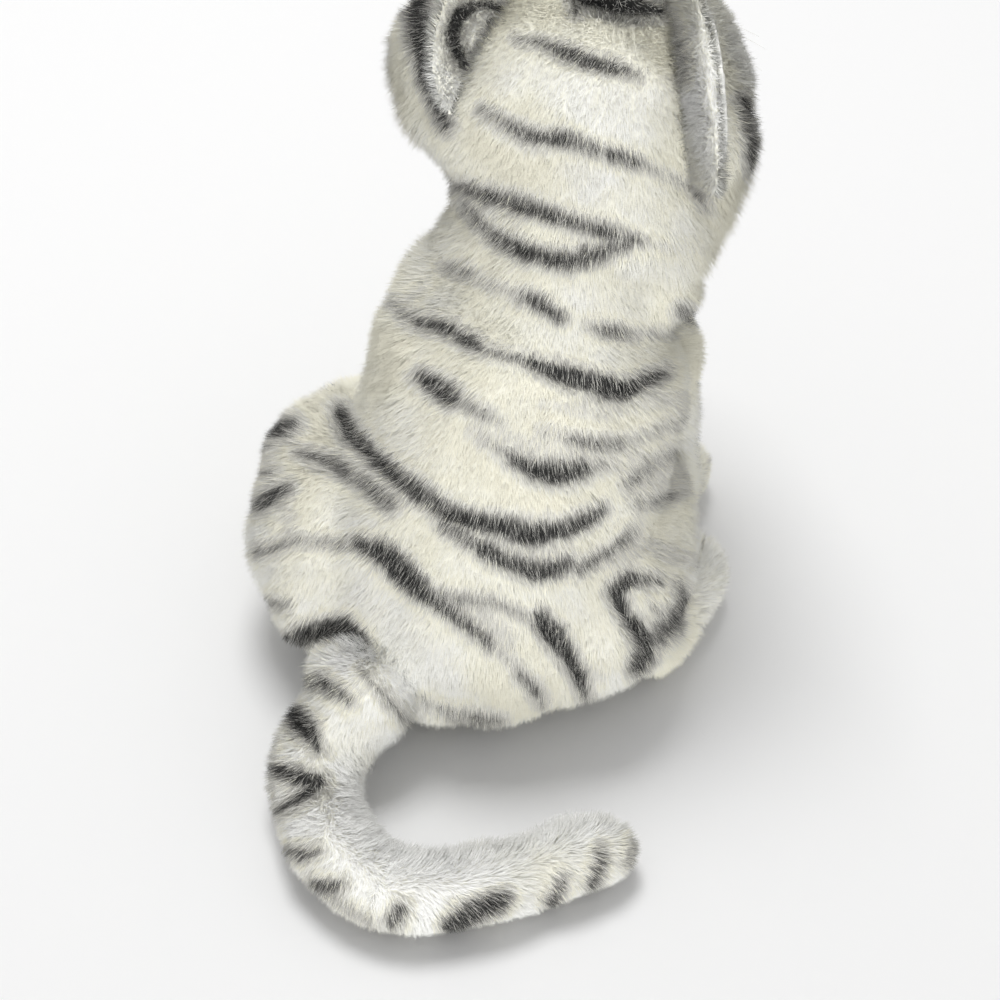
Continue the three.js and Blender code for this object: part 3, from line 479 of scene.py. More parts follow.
def smooth_path(places, per_step):
    """A path through all places, bent evenly."""
    places = np.asarray(places, float)
    ends = np.concatenate([[2 * places[0] - places[1]], places, [2 * places[-1] - places[-2]]])
    path = []
    for a, b, c, d in zip(ends[:-3], ends[1:-2], ends[2:-1], ends[3:]):
        for t in np.arange(per_step) / per_step:
            path.append(0.5 * (2 * b + (c - a) * t + (2 * a - 5 * b + 4 * c - d) * t ** 2
                               + (3 * b - 3 * c + d - a) * t ** 3))
    return np.array(path + [places[-1]])


def largest_island(points, corners):
    """Which points belong to the connected piece with the most of them."""
    label = np.arange(len(points))
    edges = np.concatenate([corners[:, [0, 1]], corners[:, [1, 2]], corners[:, [2, 0]]])
    while True:
        low = np.minimum(label[edges[:, 0]], label[edges[:, 1]])
        new = label.copy()
        np.minimum.at(new, edges[:, 0], low)
        np.minimum.at(new, edges[:, 1], low)
        new = new[new]
        if (new == label).all():
            break
        label = new
    names, counts = np.unique(label, return_counts=True)
    return label == names[counts.argmax()]


def stuffed_skin(name, nodes, extra=(), *, voxel, rounds):
    """One smooth closed skin over several solids: voxels over all of them, then smoothing."""
    skin = new_mesh(name, *joined_parts([mesh_arrays(NODES[n].data) for n in nodes] + list(extra)))
    remesh = skin.modifiers.new("voxels", "REMESH")
    remesh.mode = "VOXEL"
    remesh.voxel_size = voxel * MM
    relax = skin.modifiers.new("relax", "SMOOTH")
    relax.factor = 0.5
    relax.iterations = rounds
    mesh = bpy.data.meshes.new_from_object(skin.evaluated_get(bpy.context.evaluated_depsgraph_get()))
    rough = skin.data
    skin.modifiers.clear()
    skin.data = mesh
    bpy.data.meshes.remove(rough)
    keep = largest_island(*mesh_arrays(mesh))
    if not keep.all():
        bm = bmesh.new()
        bm.from_mesh(mesh)
        bm.verts.ensure_lookup_table()
        bmesh.ops.delete(bm, geom=[v for v in bm.verts if not keep[v.index]], context="VERTS")
        bm.to_mesh(mesh)
        bm.free()
    for polygon in mesh.polygons:
        polygon.use_smooth = True
    return skin


# Pile

def stroke_darkness(places, strokes, ragged, soft, haze=0.0, haze_reach=1.0):
    """How dark the strokes make each place, from 0 to 1, with a paler haze round them."""
    dark = np.zeros(len(places))
    for strength, *stops in strokes:
        line = np.array(stops, float).reshape(-1, 3)
        reach = line[:, 2].max() + max(soft * 3, haze_reach) + 4
        near = ((places > line[:, :2].min(0) - reach) & (places < line[:, :2].max(0) + reach)).all(1)
        if not near.any():
            continue
        at, found = places[near], np.zeros(near.sum())
        for start, end in zip(line[:-1], line[1:]):
            share, distance = beside_segment(at, start[:2], end[:2])
            away = distance - start[2] - share * (end[2] - start[2]) + ragged[near]
            found = np.maximum.reduce([
                found, ease(soft, -soft, away), haze * ease(haze_reach, 0, away)])
        dark[near] = np.maximum(dark[near], found * strength)
    return dark


def scatter(mesh, per_mm2):
    """Random places on a mesh and the normals there."""
    points, corners = mesh_arrays(mesh)
    normals = vertex_normals(mesh)
    a, b, c = (points[corners[:, k]] for k in range(3))
    area = np.linalg.norm(np.cross(b - a, c - a), axis=1) / 2
    count = RNG.poisson(area * per_mm2((a + b + c) / 3, unit(normals[corners].mean(1))))
    which = np.repeat(np.arange(len(corners)), count)
    u, v = RNG.random((2, len(which)))
    flip = u + v > 1
    u[flip], v[flip] = 1 - u[flip], 1 - v[flip]
    weights = np.stack([1 - u - v, u, v], axis=1)[..., None]
    return (points[corners[which]] * weights).sum(1), unit((normals[corners[which]] * weights).sum(1))


def lay_fibres(roots, normals, length, lay, width):
    """Four points of each fibre: three round the root and the tip."""
    tuft, tuft_name = nearest_tuft(roots, TUFT_SIZE, 11)
    tuft_turn = np.stack([scrambled(tuft_name, 20 + k) for k in range(3)], axis=1) - 0.5
    slow = np.stack([waves(roots, 26, 30 + k) for k in range(3)], axis=1)
    loose = RNG.normal(0, 1, roots.shape)
    lay = lay + tuft_turn * 0.5 + slow * 0.3 + loose * 0.13
    lay = unit(lay - normals * (lay * normals).sum(1, keepdims=True))
    length = length * (0.9 + 0.2 * scrambled(tuft_name, 40)) * RNG.uniform(*FIBRE_LENGTHS, len(roots))
    lean = np.radians(RNG.normal(*FIBRE_LEAN, len(roots)))[:, None]
    tip = roots + length[:, None] * (normals * np.cos(lean) + lay * np.sin(lean))
    pull = tuft - roots
    pull -= normals * (pull * normals).sum(1, keepdims=True)
    tip += pull * TUFT_PULL + loose * 0.3
    along = unit(tip - roots)
    across = unit(np.cross(along, normals) + loose[:, ::-1] * 0.5)
    across = unit(across - along * (across * along).sum(1, keepdims=True))
    beside = np.cross(along, across)
    wide = (width * RNG.uniform(*FIBRE_WIDTHS, len(roots)))[:, None] / 2
    corners = np.stack([
        roots + across * wide, roots - (across - beside * 1.7) * wide / 2,
        roots - (across + beside * 1.7) * wide / 2, tip], axis=1)
    corners[..., 2] = np.maximum(corners[..., 2], LOWEST)
    return corners


def shade_places(tones, warmth):
    """Where each fibre starts and ends on the scale of shades: whites by warmth, greys and blacks by tone."""
    greys = len(SHADES) - WHITES
    count = len(warmth)
    white = np.clip((warmth * 0.5 + 0.5) * WHITES + RNG.normal(0, 0.9, count), 0, WHITES - 1)
    spread = RNG.normal(0, 0.11, count)
    frosty = np.where(RNG.random(count) < FROSTY, RNG.uniform(0.1, 0.6, count), 1)
    found = []
    for tone in tones:
        dark = np.clip((tone * 1.12 + spread * np.minimum(tone * 3, 1)) * frosty, 0, 1)
        found.append(np.where(dark < 0.05, white, WHITES + dark * (greys - 1)))
    return found


def fibre_piece(name, corners, normals, shades):
    """The mesh of many fibres, each a three-sided spike, with its shades in the map that the export keeps."""
    count = len(corners)
    mesh = bpy.data.meshes.new(name)
    mesh.vertices.add(count * 4)
    fill_in(mesh.vertices, "co", corners * MM)
    mesh.loops.add(count * 9)
    base = np.arange(count)[:, None] * 4
    fill_in(mesh.loops, "vertex_index", base + np.array([0, 1, 3, 1, 2, 3, 2, 0, 3]), np.int32)
    mesh.polygons.add(count * 3)
    fill_in(mesh.polygons, "loop_start", np.arange(count * 3) * 3, np.int32)
    mesh.update(calc_edges=True)
    root, tip = ((shade + 0.5) / len(SHADES) for shade in shades)
    side = 0.3 / len(SHADES)
    low, high = np.full(count, 0.02), np.full(count, 0.98)
    uv = np.stack([root - side, low, root + side, low, tip, high,
                   root + side, low, root, low, tip, high,
                   root, low, root - side, low, tip, high], axis=1)
    fill_in(mesh.uv_layers.new(name="OFBake").uv, "vector", uv)
    soft = mesh.attributes.new("custom_normal", "FLOAT_VECTOR", "POINT")
    fill_in(soft.data, "vector", np.repeat(normals, 4, axis=0))
    mesh.materials.append(FIBRES)
    return placed(name, mesh)


# Materials

def surface(name, roughness):
    """For a new material: a function that adds a node and gives one of its outputs, and one that feeds the
    shader and gives the material. An input is fed with a number, a colour or a node's output."""
    material = bpy.data.materials.new(name)
    material.use_nodes = True
    tree = material.node_tree

    def feed(node, inputs):
        for key, value in inputs.items():
            if isinstance(value, bpy.types.NodeSocket):
                tree.links.new(value, node.inputs[key])
            else:
                node.inputs[key].default_value = value

    def add(kind, output, inputs=(), **settings):
        node = tree.nodes.new(f"ShaderNode{kind}")
        for key, value in settings.items():
            setattr(node, key, value)
        feed(node, dict(inputs))
        return node.outputs[output]

    def finish(inputs):
        feed(tree.nodes["Principled BSDF"], inputs)
        return material

    finish({"Roughness": roughness, "Specular IOR Level": 0.25})
    return add, finish


def add_ramp(add, share, stops):
    """The colour of a ramp with these stops where share falls on it."""
    colour_out = add("ValToRGB", "Color", {"Fac": share})
    marks = colour_out.node.color_ramp.elements
    for number, (position, colour) in enumerate(stops):
        mark = marks[number] if number < 2 else marks.new(position)
        mark.position = position
        mark.color = (*colour, 1)
    return colour_out


def pile_material():
    """The colour of a fibre: its shade from one side of the map to the other, darkened towards the root as painted
    shade.
    """
    add, finish = surface("white_pile_fibres", 0.6)
    apart = add("SeparateXYZ", "X", {0: add("UVMap", "UV", uv_map="OFBake")}).node.outputs
    stops = [((number + 0.5) / len(SHADES), colour) for number, colour in enumerate(SHADES)]
    shade = add_ramp(add, apart["X"], stops)
    # Painted shade: the fibre's colour falls to 0.86 at its root, standing in for the shade deep in the pile.
    depth = add("MapRange", "Result", {"Value": apart["Y"], "From Max": 0.6, "To Min": 0.86})
    mix = add("Mix", 2, {0: 1, 6: shade, 7: depth}, data_type="RGBA", blend_type="MULTIPLY")
    return finish({"Base Color": mix})


def backing_material():
    """The knitted backing under the pile, dark under the stripes and under the painted shade among them."""
    add, finish = surface("white_pile_backing", 0.95)
    tone = add("Attribute", "Fac", attribute_name="stripe_and_painted_shade")
    return finish({"Base Color": add("Mix", 2, {0: tone, 6: WHITE_BACKING, 7: DARK_BACKING}, data_type="RGBA")})


def mottled_material(name, recipe=None):
    """A surface whose colour and roughness vary in specks, with a fine grain."""
    dark, light, size, roughness, grain, sheen = MOTTLED[recipe or name]
    add, finish = surface(name, roughness)
    place = add("TexCoord", "Object")
    noise = add("TexNoise", "Fac", {"Vector": place, "Scale": 1 / (size * MM), "Detail": 6})
    limits = {"To Min": roughness * 0.85, "To Max": min(roughness * 1.2, 1)}
    rough = add("MapRange", "Result", {"Value": noise, **limits})
    if grain:
        fine = add("TexNoise", "Fac", {"Vector": place, "Scale": 4 / (size * MM)})
        finish({"Normal": add("Bump", "Normal", {"Height": fine, "Strength": 0.5, "Distance": grain * MM})})
    colour = add_ramp(add, noise, ((0.32, dark), (0.68, light)))
    return finish({"Base Color": colour, "Roughness": rough, "Sheen Weight": sheen})


def eye_material(name, axis, pole):
    """A glossy eye: pupil, blue iris with darker flecks and a black rim, by distance from its axis."""
    add, finish = surface(name, 0.05)
    place = add("TexCoord", "Object")
    offset = add("VectorMath", "Vector", {0: place, 1: tuple(pole * MM)}, operation="SUBTRACT")
    across = add("VectorMath", "Vector", {0: offset, 1: tuple(axis)}, operation="CROSS_PRODUCT")
    radius = add("VectorMath", "Value", {0: across}, operation="LENGTH")
    flecks = add("TexNoise", "Fac", {"Vector": place, "Scale": 1 / (1.6 * MM), "Detail": 4})
    wobble = add("Math", "Value", {0: flecks, 1: 1.1 * MM, 2: radius}, operation="MULTIPLY_ADD")
    share = add("Math", "Value", {0: wobble, 1: EYE_RADIUS * MM}, operation="DIVIDE")
    rings = add_ramp(add, share, EYE_RINGS)
    return finish({"Base Color": rings, "Specular IOR Level": 0.5, "Coat Weight": 0.6})


# Where the pile is long, which way it lies and how dark it is

def evenly(length):
    return lambda points: np.full(len(points), length)


def tail_way(points):
    """Down the sides of the tail and a little towards its end, and along it by the rump."""
    best = np.full(len(points), np.inf)
    way = np.zeros_like(points)
    for start, end in zip(TAIL_LINE[:-1], TAIL_LINE[1:]):
        _, distance = beside_segment(points, start, end)
        closer = distance < best
        best[closer] = distance[closer]
        way[closer] = (end - start) / np.linalg.norm(end - start)
    root = ease(48, 22, np.linalg.norm(points - TAIL_LINE[0], axis=1))[:, None]
    return way * (0.6 + 1.2 * root) + np.array([0, 0, -0.75]) * (1 - 0.5 * root)


def in_head(points):
    """Points as the head has them: x to its own left, y backwards and z up from its middle."""
    return (points - HEAD_AT) @ HEAD_TURN


def head_share(points):
    return ease(-4, 26, (points - NECK_AT) @ NECK_AXIS)


def body_way(points):
    """Down the body, forwards on the feet, and away from the nose on the head."""
    torso = np.tile([0.0, 0.25, -1.0], (len(points), 1))
    foot = ease(60, 25, points[:, 2]) * ease(20, -60, points[:, 1])
    torso += foot[:, None] * np.array([0, -1.6, 0.1])
    nose = HEAD_AT + NOSE_AHEAD @ HEAD_TURN.T
    head = unit(points - nose) + np.array([0, 0, -0.7]) * ease(-20, 40, in_head(points)[:, 1])[:, None]
    share = head_share(points)[:, None]
    return torso * (1 - share) + head * share


def body_length(points):
    front = head_share(points) * ease(-15, -55, in_head(points)[:, 1])
    feet = ease(40, 18, points[:, 2]) * ease(-40, -80, points[:, 1]) * (1 - head_share(points))
    return BODY_PILE - FACE_CUT * np.maximum(front, feet * 0.7)


def ruff_share(points):
    """1 on the fuller cheeks behind the face, which have the longest pile."""
    local = in_head(points)
    return (head_share(points) * ease(42, 56, np.abs(local[:, 0])) * ease(2, -14, local[:, 2])
            * ease(-34, -14, local[:, 1]))


def eye_distance(points):
    """How far points are from the nearer eye's axis, or far where they aren't beside it."""
    best = np.full(len(points), 99.0)
    for axis, pole in EYES:
        offset = points - pole
        radial = np.linalg.norm(np.cross(offset, axis), axis=1)
        beside = np.linalg.norm(offset, axis=1) < 30
        best[beside] = np.minimum(best[beside], radial[beside])
    return best


def nose_distance(points):
    """1 on a ball that holds the nose, more beyond it."""
    low, high = NOSE_BOX
    return np.linalg.norm((points - (low + high) / 2) / ((high - low) / 2), axis=1)


def mouth_distance(points):
    local = in_head(points)
    best = np.full(len(points), 99.0)
    for line in MOUTH:
        for start, end in zip(line[:-1], line[1:]):
            best = np.minimum(best, beside_segment(local[:, [0, 2]], start, end)[1])
    best[local[:, 1] > -55] = 99
    return best


def body_reach(points):
    """The pile's length: longer on the cheeks and shorter round the eyes, nose, mouth and toes."""
    length = body_length(points) + CHEEK_EXTRA * ruff_share(points)
    length *= 1 - 0.45 * ease(15, 9, eye_distance(points))
    length *= 1 - 0.5 * ease(1.8, 1.0, nose_distance(points))
    length *= 1 - 0.45 * ease(4, 1, mouth_distance(points))
    return length * (1 - 0.4 * toe_seams(points))


def bare_face(points, normals):
    eyes = ease(9.4, 8.6, eye_distance(points))
    nose = ease(1.15, 0.95, nose_distance(points))
    return np.maximum(np.maximum(eyes, nose), ease(1.3, 0.7, mouth_distance(points)))


def toe_seams(points, width=1.8):
    """1 on the seams that part the toes of all four feet."""
    found = np.zeros(len(points))
    for middle, front in TOES:
        here = ease(front + 8, front - 6, points[:, 1]) * ease(36, 30, points[:, 2])
        for seam in TOE_SEAMS:
            found = np.maximum(found, ease(width, 0, np.abs(points[:, 0] - middle - seam)) * here)
    return found


def picture_tone(points, normals, strokes, far=(-0.5, -0.1)):
    """Darkness from strokes in the photograph, carried a little way round to the far side."""
    ragged = layered_waves(points, FRAY["picture"], 51) + 2.0
    # The haze round these strokes is partly the print's soft edge and partly painted shade: grey where the stuffing
    # dips beside the stripes.
    tone = stroke_darkness(photo_pixels(points), strokes, ragged, 4.2, haze=0.26, haze_reach=15)
    return tone * ease(*far, towards_camera(points, normals))


def behind_share(points):
    """1 where a point lies at the back or the sides, and 0 where the toy itself hides it from behind."""
    x, y, z = points.T
    back = ease(-85, -60, y - 79 + 0.55 * (z - 40))
    share = np.maximum(back, ease(50, 62, np.abs(x + 5)))
    share *= 1 - ease(45, 35, z) * ease(-5, -20, y)
    head = head_share(points)
    return share * (1 - head) + head * ease(-32, -14, in_head(points)[:, 1])


def face_tone(points, normals):
    """Stripes of the crown, cheeks and muzzle and the dark skin round the eyes, where the picture shows none."""
    local = in_head(points)
    side = np.abs(local[:, 0])
    up = np.degrees(np.arctan2(local[:, 2], -local[:, 1]))
    around = np.degrees(np.arctan2(side, -local[:, 1]))
    ragged = layered_waves(points, FRAY["face"], 53)
    crown = stroke_darkness(np.stack([side, up * CROWN_ARC], axis=1), CROWN_STROKES, ragged, 1.3, 0.2, 4)
    crown *= ease(0, 10, local[:, 2])
    cheek = stroke_darkness(np.stack([around * CHEEK_ARC, local[:, 2]], axis=1), CHEEK_STROKES, ragged, 1.3, 0.2, 4)
    muzzle = stroke_darkness(np.stack([side, local[:, 2]], axis=1), MUZZLE_STROKES, ragged * 0.2, 0.7)
    muzzle *= ease(-60, -66, local[:, 1])
    unseen = np.maximum(ease(0.05, -0.2, towards_camera(points, normals)),
                        ease(0, -12, photo_pixels(points)[:, 1]))
    tone = np.maximum(np.maximum(crown, cheek) * unseen, muzzle)
    lids = 0.95 * ease(12.4, 11.2, eye_distance(points))
    lips = 0.7 * ease(2.6, 1.2, mouth_distance(points))
    return np.maximum(np.maximum(tone, lids), lips) * head_share(points)


def flank_tone(points, normals):
    """Stripes on the sides that the picture doesn't show."""
    ragged = layered_waves(points, FRAY["flank"], 55)
    tone = stroke_darkness(points[:, 1:], FLANK_STROKES, ragged, 1.8, 0.22, 6)
    sideways = points[:, 0] + 5
    tone *= ease(-0.1, 0.4, normals[:, 0] * np.sign(sideways)) * ease(30, 42, np.abs(sideways))
    return tone * ease(0.0, -0.12, towards_camera(points, normals)) * (1 - head_share(points))


def body_tone(points, normals):
    return np.maximum.reduce([
        picture_tone(points, normals, BODY_STROKES) * behind_share(points),
        picture_tone(points, normals, HEAD_SIDE_STROKES, (-0.15, 0.08)) * head_share(points),
        face_tone(points, normals), flank_tone(points, normals), 0.3 * toe_seams(points, 1.0)])


def leg_way(points):
    down = np.tile([0.0, -0.25, -1.0], (len(points), 1))
    paw = ease(45, 22, points[:, 2])[:, None]
    return down * (1 - paw) + paw * np.array([0, -1, -0.9])


def leg_length(points):
    return LEG_PILE - PAW_CUT * ease(45, 25, points[:, 2])


def leg_reach(points):
    return leg_length(points) * (1 - 0.4 * toe_seams(points))


def leg_tone(points, normals):
    """Bands round the outer side of a front leg, and the seams between the toes."""
    side = np.sign(points[:, 0].mean() + 14)
    outer = ease(-0.35, 0.3, normals @ np.array([0.8 * side, -0.5, 0]))
    ragged = layered_waves(points, FRAY["leg"], 57)
    bands = np.zeros(len(points))
    for height, half in LEG_BANDS:
        away = np.abs(points[:, 2] - height - BAND_RISE * (points[:, 1] + 80)) - half + ragged
        bands = np.maximum(bands, np.maximum(ease(1.8, -1.8, away), 0.2 * ease(6, 0, away)))
    unseen = ease(0.08, -0.12, towards_camera(points, normals))
    return np.maximum(bands * outer * unseen * 0.9, 0.3 * toe_seams(points, 1.0))


def inset(skin, length, lumps=1.0, swells=(), valleys=None):
    """Moves a skin in from the solids' surface, so that the pile's tips end just beyond it."""
    points, normals = points_and_normals(skin)
    flat = ease(-0.5, -0.85, normals[:, 2]) * ease(14, 6, points[:, 2])
    depth = length(points) * PILE_SINK * (1 - 0.75 * flat)
    depth -= lumps * layered_waves(points, LUMPS, 71) * (1 - flat)
    if valleys is not None:
        depth += VALLEY_DEPTH * valleys(points, normals)
    depth += TOE_DEPTH * toe_seams(points, 3.0) * (1 - flat)
    beside = eye_distance(points)
    depth -= LID_RISE * ease(17, 11.5, beside) * ease(7, 9.5, beside)
    pixels = photo_pixels(points)
    for x, y, radius, out in swells:
        depth -= out * ease(radius, 0, np.hypot(pixels[:, 0] - x, pixels[:, 1] - y))
    move_points(skin, points - normals * depth[:, None])


def dress(name, skin, way, reach, tone, join, bare=None, cream=0.25, denser=1, finer=1):
    """Grows the pile of one skin, in pieces small enough for the export, and colours the skin under it."""
    # The skin darkens with the pile's tone: its stripes, and its painted shade where the tone holds some.
    stripe_and_painted_shade = skin.data.attributes.new("stripe_and_painted_shade", "FLOAT", "POINT")
    fill_in(stripe_and_painted_shade.data, "value", tone(*points_and_normals(skin)))
    skin.data.materials.append(BACKING)
    join(skin)

    def per_mm2(places, normals):
        facing = towards_camera(places, normals)
        full = DENSITY * denser * (0.6 + 0.4 * ease(-0.3, 0.1, facing))
        full *= 1 - 0.7 * ease(-0.5, -0.9, normals[:, 2]) * ease(12, 6, places[:, 2])
        return full if bare is None else full * (1 - bare(places, normals))

    roots, normals = scatter(skin.data, per_mm2)
    length = reach(roots) * (1 - 0.45 * ease(26, 6, roots[:, 2]))
    corners = lay_fibres(roots, normals, length, way(roots), WIDTH * finer)
    tones = [tone(roots * root + corners[:, 3] * tip, normals) for root, tip in ((0.8, 0.2), (0.2, 0.8))]
    shades = shade_places(tones, layered_waves(roots, WARMTH, 61) + cream)
    for number, start in enumerate(range(0, len(corners), MOST_FIBRES)):
        part = slice(start, start + MOST_FIBRES)
        piece = fibre_piece(
            f"{name}_pile_{number + 1}", corners[part], normals[part], [shade[part] for shade in shades])
        join(piece)


def neck_join(obj):
    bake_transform(obj)


def rides(body):
    return lambda obj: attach(obj, body)


def bends():
    """A function that bakes an object's place into its mesh."""
    return lambda obj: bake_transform(obj)


def turned_part(name, inner):
    """Outward axis and outermost point of a round piece."""
    points, _ = mesh_arrays(NODES[name].data)
    middle = points.mean(0)
    spread, ways = np.linalg.eigh(np.cov((points - middle).T))
    odd = 0 if spread[1] - spread[0] > spread[2] - spread[1] else 2
    axis = ways[:, odd] * np.sign((middle - inner) @ ways[:, odd])
    return axis, middle + axis * ((points - middle) @ axis).max()


def cut_off(skin, at, way, name):
    """Splits a closed skin at a plane. The part beyond it becomes a new object; both stay closed."""
    beyond = placed(name, skin.data.copy())
    for obj, outer in ((skin, True), (beyond, False)):
        bm = bmesh.new()
        bm.from_mesh(obj.data)
        cut = bmesh.ops.bisect_plane(
            bm, geom=bm.verts[:] + bm.edges[:] + bm.faces[:], plane_co=tuple(at * MM), plane_no=tuple(way),
            clear_outer=outer, clear_inner=not outer)
        edges = [part for part in cut["geom_cut"] if isinstance(part, bmesh.types.BMEdge)]
        bmesh.ops.holes_fill(bm, edges=edges)
        bmesh.ops.triangulate(bm, faces=[face for face in bm.faces if len(face.verts) > 4])
        bm.to_mesh(obj.data)
        bm.free()
    return beyond


def on_skin(tree, x, z, out):
    """The place in front of the face where the head has this x and z, raised from its skin."""
    start = HEAD_AT + HEAD_TURN @ np.array([x, -130, z])
    place, normal, _, _ = tree.ray_cast(Vector(start), Vector(HEAD_TURN @ np.array([0, 1, 0])))
    return np.array(place) + np.array(normal) * out


def make_mouth(tree):
    parts = []
    for line in MOUTH:
        path = np.array([on_skin(tree, x, z, 1.5) for x, z in smooth_path(line, 4)])
        parts.append(tube_arrays(path, 0.75, (0.1, 1, 0.05)))
    mouth = joined_mesh("mouth_thread", parts, mottled_material("mouth_thread"))
    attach(mouth, "head")


def make_whiskers(tree):
    parts = []
    steps = np.linspace(0, 1, WHISKER_STEPS)[:, None]
    for side in (-1, 1):
        for x, z, rise in WHISKERS:
            way = HEAD_TURN @ unit(np.array([side * 1.0, -0.32, rise]))
            path = on_skin(tree, side * x, z, -1.5) + way * steps * WHISKER_LENGTH
            path += HEAD_TURN @ WHISKER_SAG * steps ** 2
            parts.append(tube_arrays(path, np.linspace(0.34, 0.1, WHISKER_STEPS), (0, 0.3, 1), sides=6))
    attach(joined_mesh("whiskers", parts, mottled_material("whisker_nylon")), "head")


def rim_loop(points, ear):
    """The outer edge of an ear's lining, as a closed loop."""
    offset = points - points.mean(0)
    v, u = offset @ ear["rise"], offset @ ear["chord"]
    angle, radius = np.arctan2(v, u), np.hypot(u, v) + 0.6 * (offset @ ear["facing"])
    loop = []
    for k in range(RIM_COUNT):
        want = -math.pi + 2 * math.pi * (k + 0.5) / RIM_COUNT
        apart = np.abs((angle - want + math.pi) % (2 * math.pi) - math.pi)
        loop.append(points[np.argmax(np.where(apart < 2 * math.pi / RIM_COUNT, radius, -1))])
    loop = np.array(loop)
    for _ in range(8):
        loop = loop * 0.5 + (np.roll(loop, 1, axis=0) + np.roll(loop, -1, axis=0)) * 0.25
    return loop


def ear_turn(side):
    vector = Vector(EAR_TURNS[side])
    return np.array(Quaternion(vector.normalized(), math.radians(vector.length)).to_matrix())


def ear_ways(side):
    """An ear's directions once it is tilted."""
    ear, tilt = EARS[side], math.radians(EAR_TILTS[side])
    return {"chord": ear["chord"],
            "rise": ear["rise"] * math.cos(tilt) - ear["facing"] * math.sin(tilt),
            "facing": ear["facing"] * math.cos(tilt) + ear["rise"] * math.sin(tilt)}


def turn_ear(obj, side, scale=(1, 1, 1)):
    """Squares an ear's outline, lengthens it from its lower end, tilts it and turns it round the head."""
    points, _ = mesh_arrays(obj.data)
    ear, ways = EARS[side], ear_ways(side)
    offset = points - ear["seat"]
    along, up, out = (offset @ ear[way] * part for way, part in zip(("chord", "rise", "facing"), scale))
    power, share = EAR_SQUARENESS[side], np.clip(np.abs(along) / EAR_HALF, 0, EAR_FLARE[0])
    fuller = np.minimum((1 - share ** power) ** (1 / power) / np.sqrt(1 - share ** 2), EAR_FLARE[1])
    longer, higher = EAR_SCALES[side]
    top, low = EAR_ROOTS[side]
    sunk = top * ease(-8, -40, along) + low * ease(12, 40, along)
    along = EAR_LOW_END + (along - EAR_LOW_END) * longer
    up = np.where(up > 0, up * fuller, up) * higher - sunk
    places = np.stack([along, up, out], axis=1) @ np.stack([ways["chord"], ways["rise"], ways["facing"]])
    places += ear["seat"] + ear["facing"] * EAR_OUT
    move_points(obj, (places - HEAD_AT) @ ear_turn(side).T + HEAD_AT)


def near_mesh(obj, reach):
    """A function that tells how far points are from a mesh, up to reach."""
    tree = mesh_tree(obj.data)

    def distance(places):
        found = [tree.find_nearest(Vector(place), reach)[3] for place in places]
        return np.array([reach if away is None else away for away in found])
    return distance


def make_ear_lining(side, ear, material, piping):
    """The smooth lining with its folds, and the piping sewn round it."""
    name = f"ear_lining_{side}"
    lining = stuffed_skin(f"plush_{name}", [name], voxel=1.4, rounds=3)
    turn_ear(lining, side, LINING_SCALES[side])
    points, normals = points_and_normals(lining)
    offset = points - points.mean(0)
    across, along = offset @ ear["chord"], offset @ ear["rise"]
    front = ease(0.1, 0.5, normals @ ear["facing"])
    for place, lean in EAR_FOLDS:
        fold = np.exp(-((across - place - lean * along) / 1.5) ** 2)
        points -= ear["facing"] * (fold * front)[:, None] * 1.1
    points += normals * (0.35 * waves(points, 9, 73) * front)[:, None]
    edge = np.hypot(across / np.abs(across).max(), along / np.abs(along).max())
    points -= ear["facing"] * (LINING_CUP * ease(0.45, 1.0, edge))[:, None]
    loop = rim_loop(points, ear)
    move_points(lining, points)
    lining.data.materials.append(material)
    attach(lining, f"ear_{side}")
    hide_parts(name)
    edge = joined_mesh(f"ear_piping_{side}", [tube_arrays(loop, 1.0, tuple(ear["facing"]), closed=True)], piping)
    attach(edge, f"ear_{side}")
    return near_mesh(lining, 6.0)


def assign(name, material):
    NODES[name].material_slots[0].material = material


# Light and floor

def area_light(name, towards, size, power):
    data = bpy.data.lights.new(name, "AREA")
    data.shape = "DISK"
    data.size = size
    data.energy = power
    light = placed(name, data)
    back = Vector(towards).normalized()
    light.location = LIGHT_AIM + back * LIGHT_DISTANCE
    light.rotation_mode = "QUATERNION"
    light.rotation_quaternion = (-back).to_track_quat("-Z", "Y")
    return light


def make_surroundings():
    corners = np.array([[-1, -1, 0], [1, -1, 0], [1, 1, 0], [-1, 1, 0]]) * FLOOR_HALF
    floor = new_mesh("floor", corners, [[0, 1, 2, 3]])
    floor.data.materials.append(surface("pale_floor", 0.9)[1]({"Base Color": FLOOR_COLOUR}))
    floor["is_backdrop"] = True
    world = bpy.data.worlds.new("studio")
    world.use_nodes = True
    background = world.node_tree.nodes["Background"].inputs
    background["Color"].default_value = (1, 1, 1, 1)
    background["Strength"].default_value = WORLD_STRENGTH
    bpy.context.scene.world = world
    bpy.context.scene.view_settings.view_transform = "Standard"
    lights = [area_light(*row) for row in LIGHTS]
    toy = bpy.data.collections.new("toy_only")
    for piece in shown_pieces():
        toy.objects.link(piece)
    for light in lights[1:]:
        light.light_linking.receiver_collection = toy


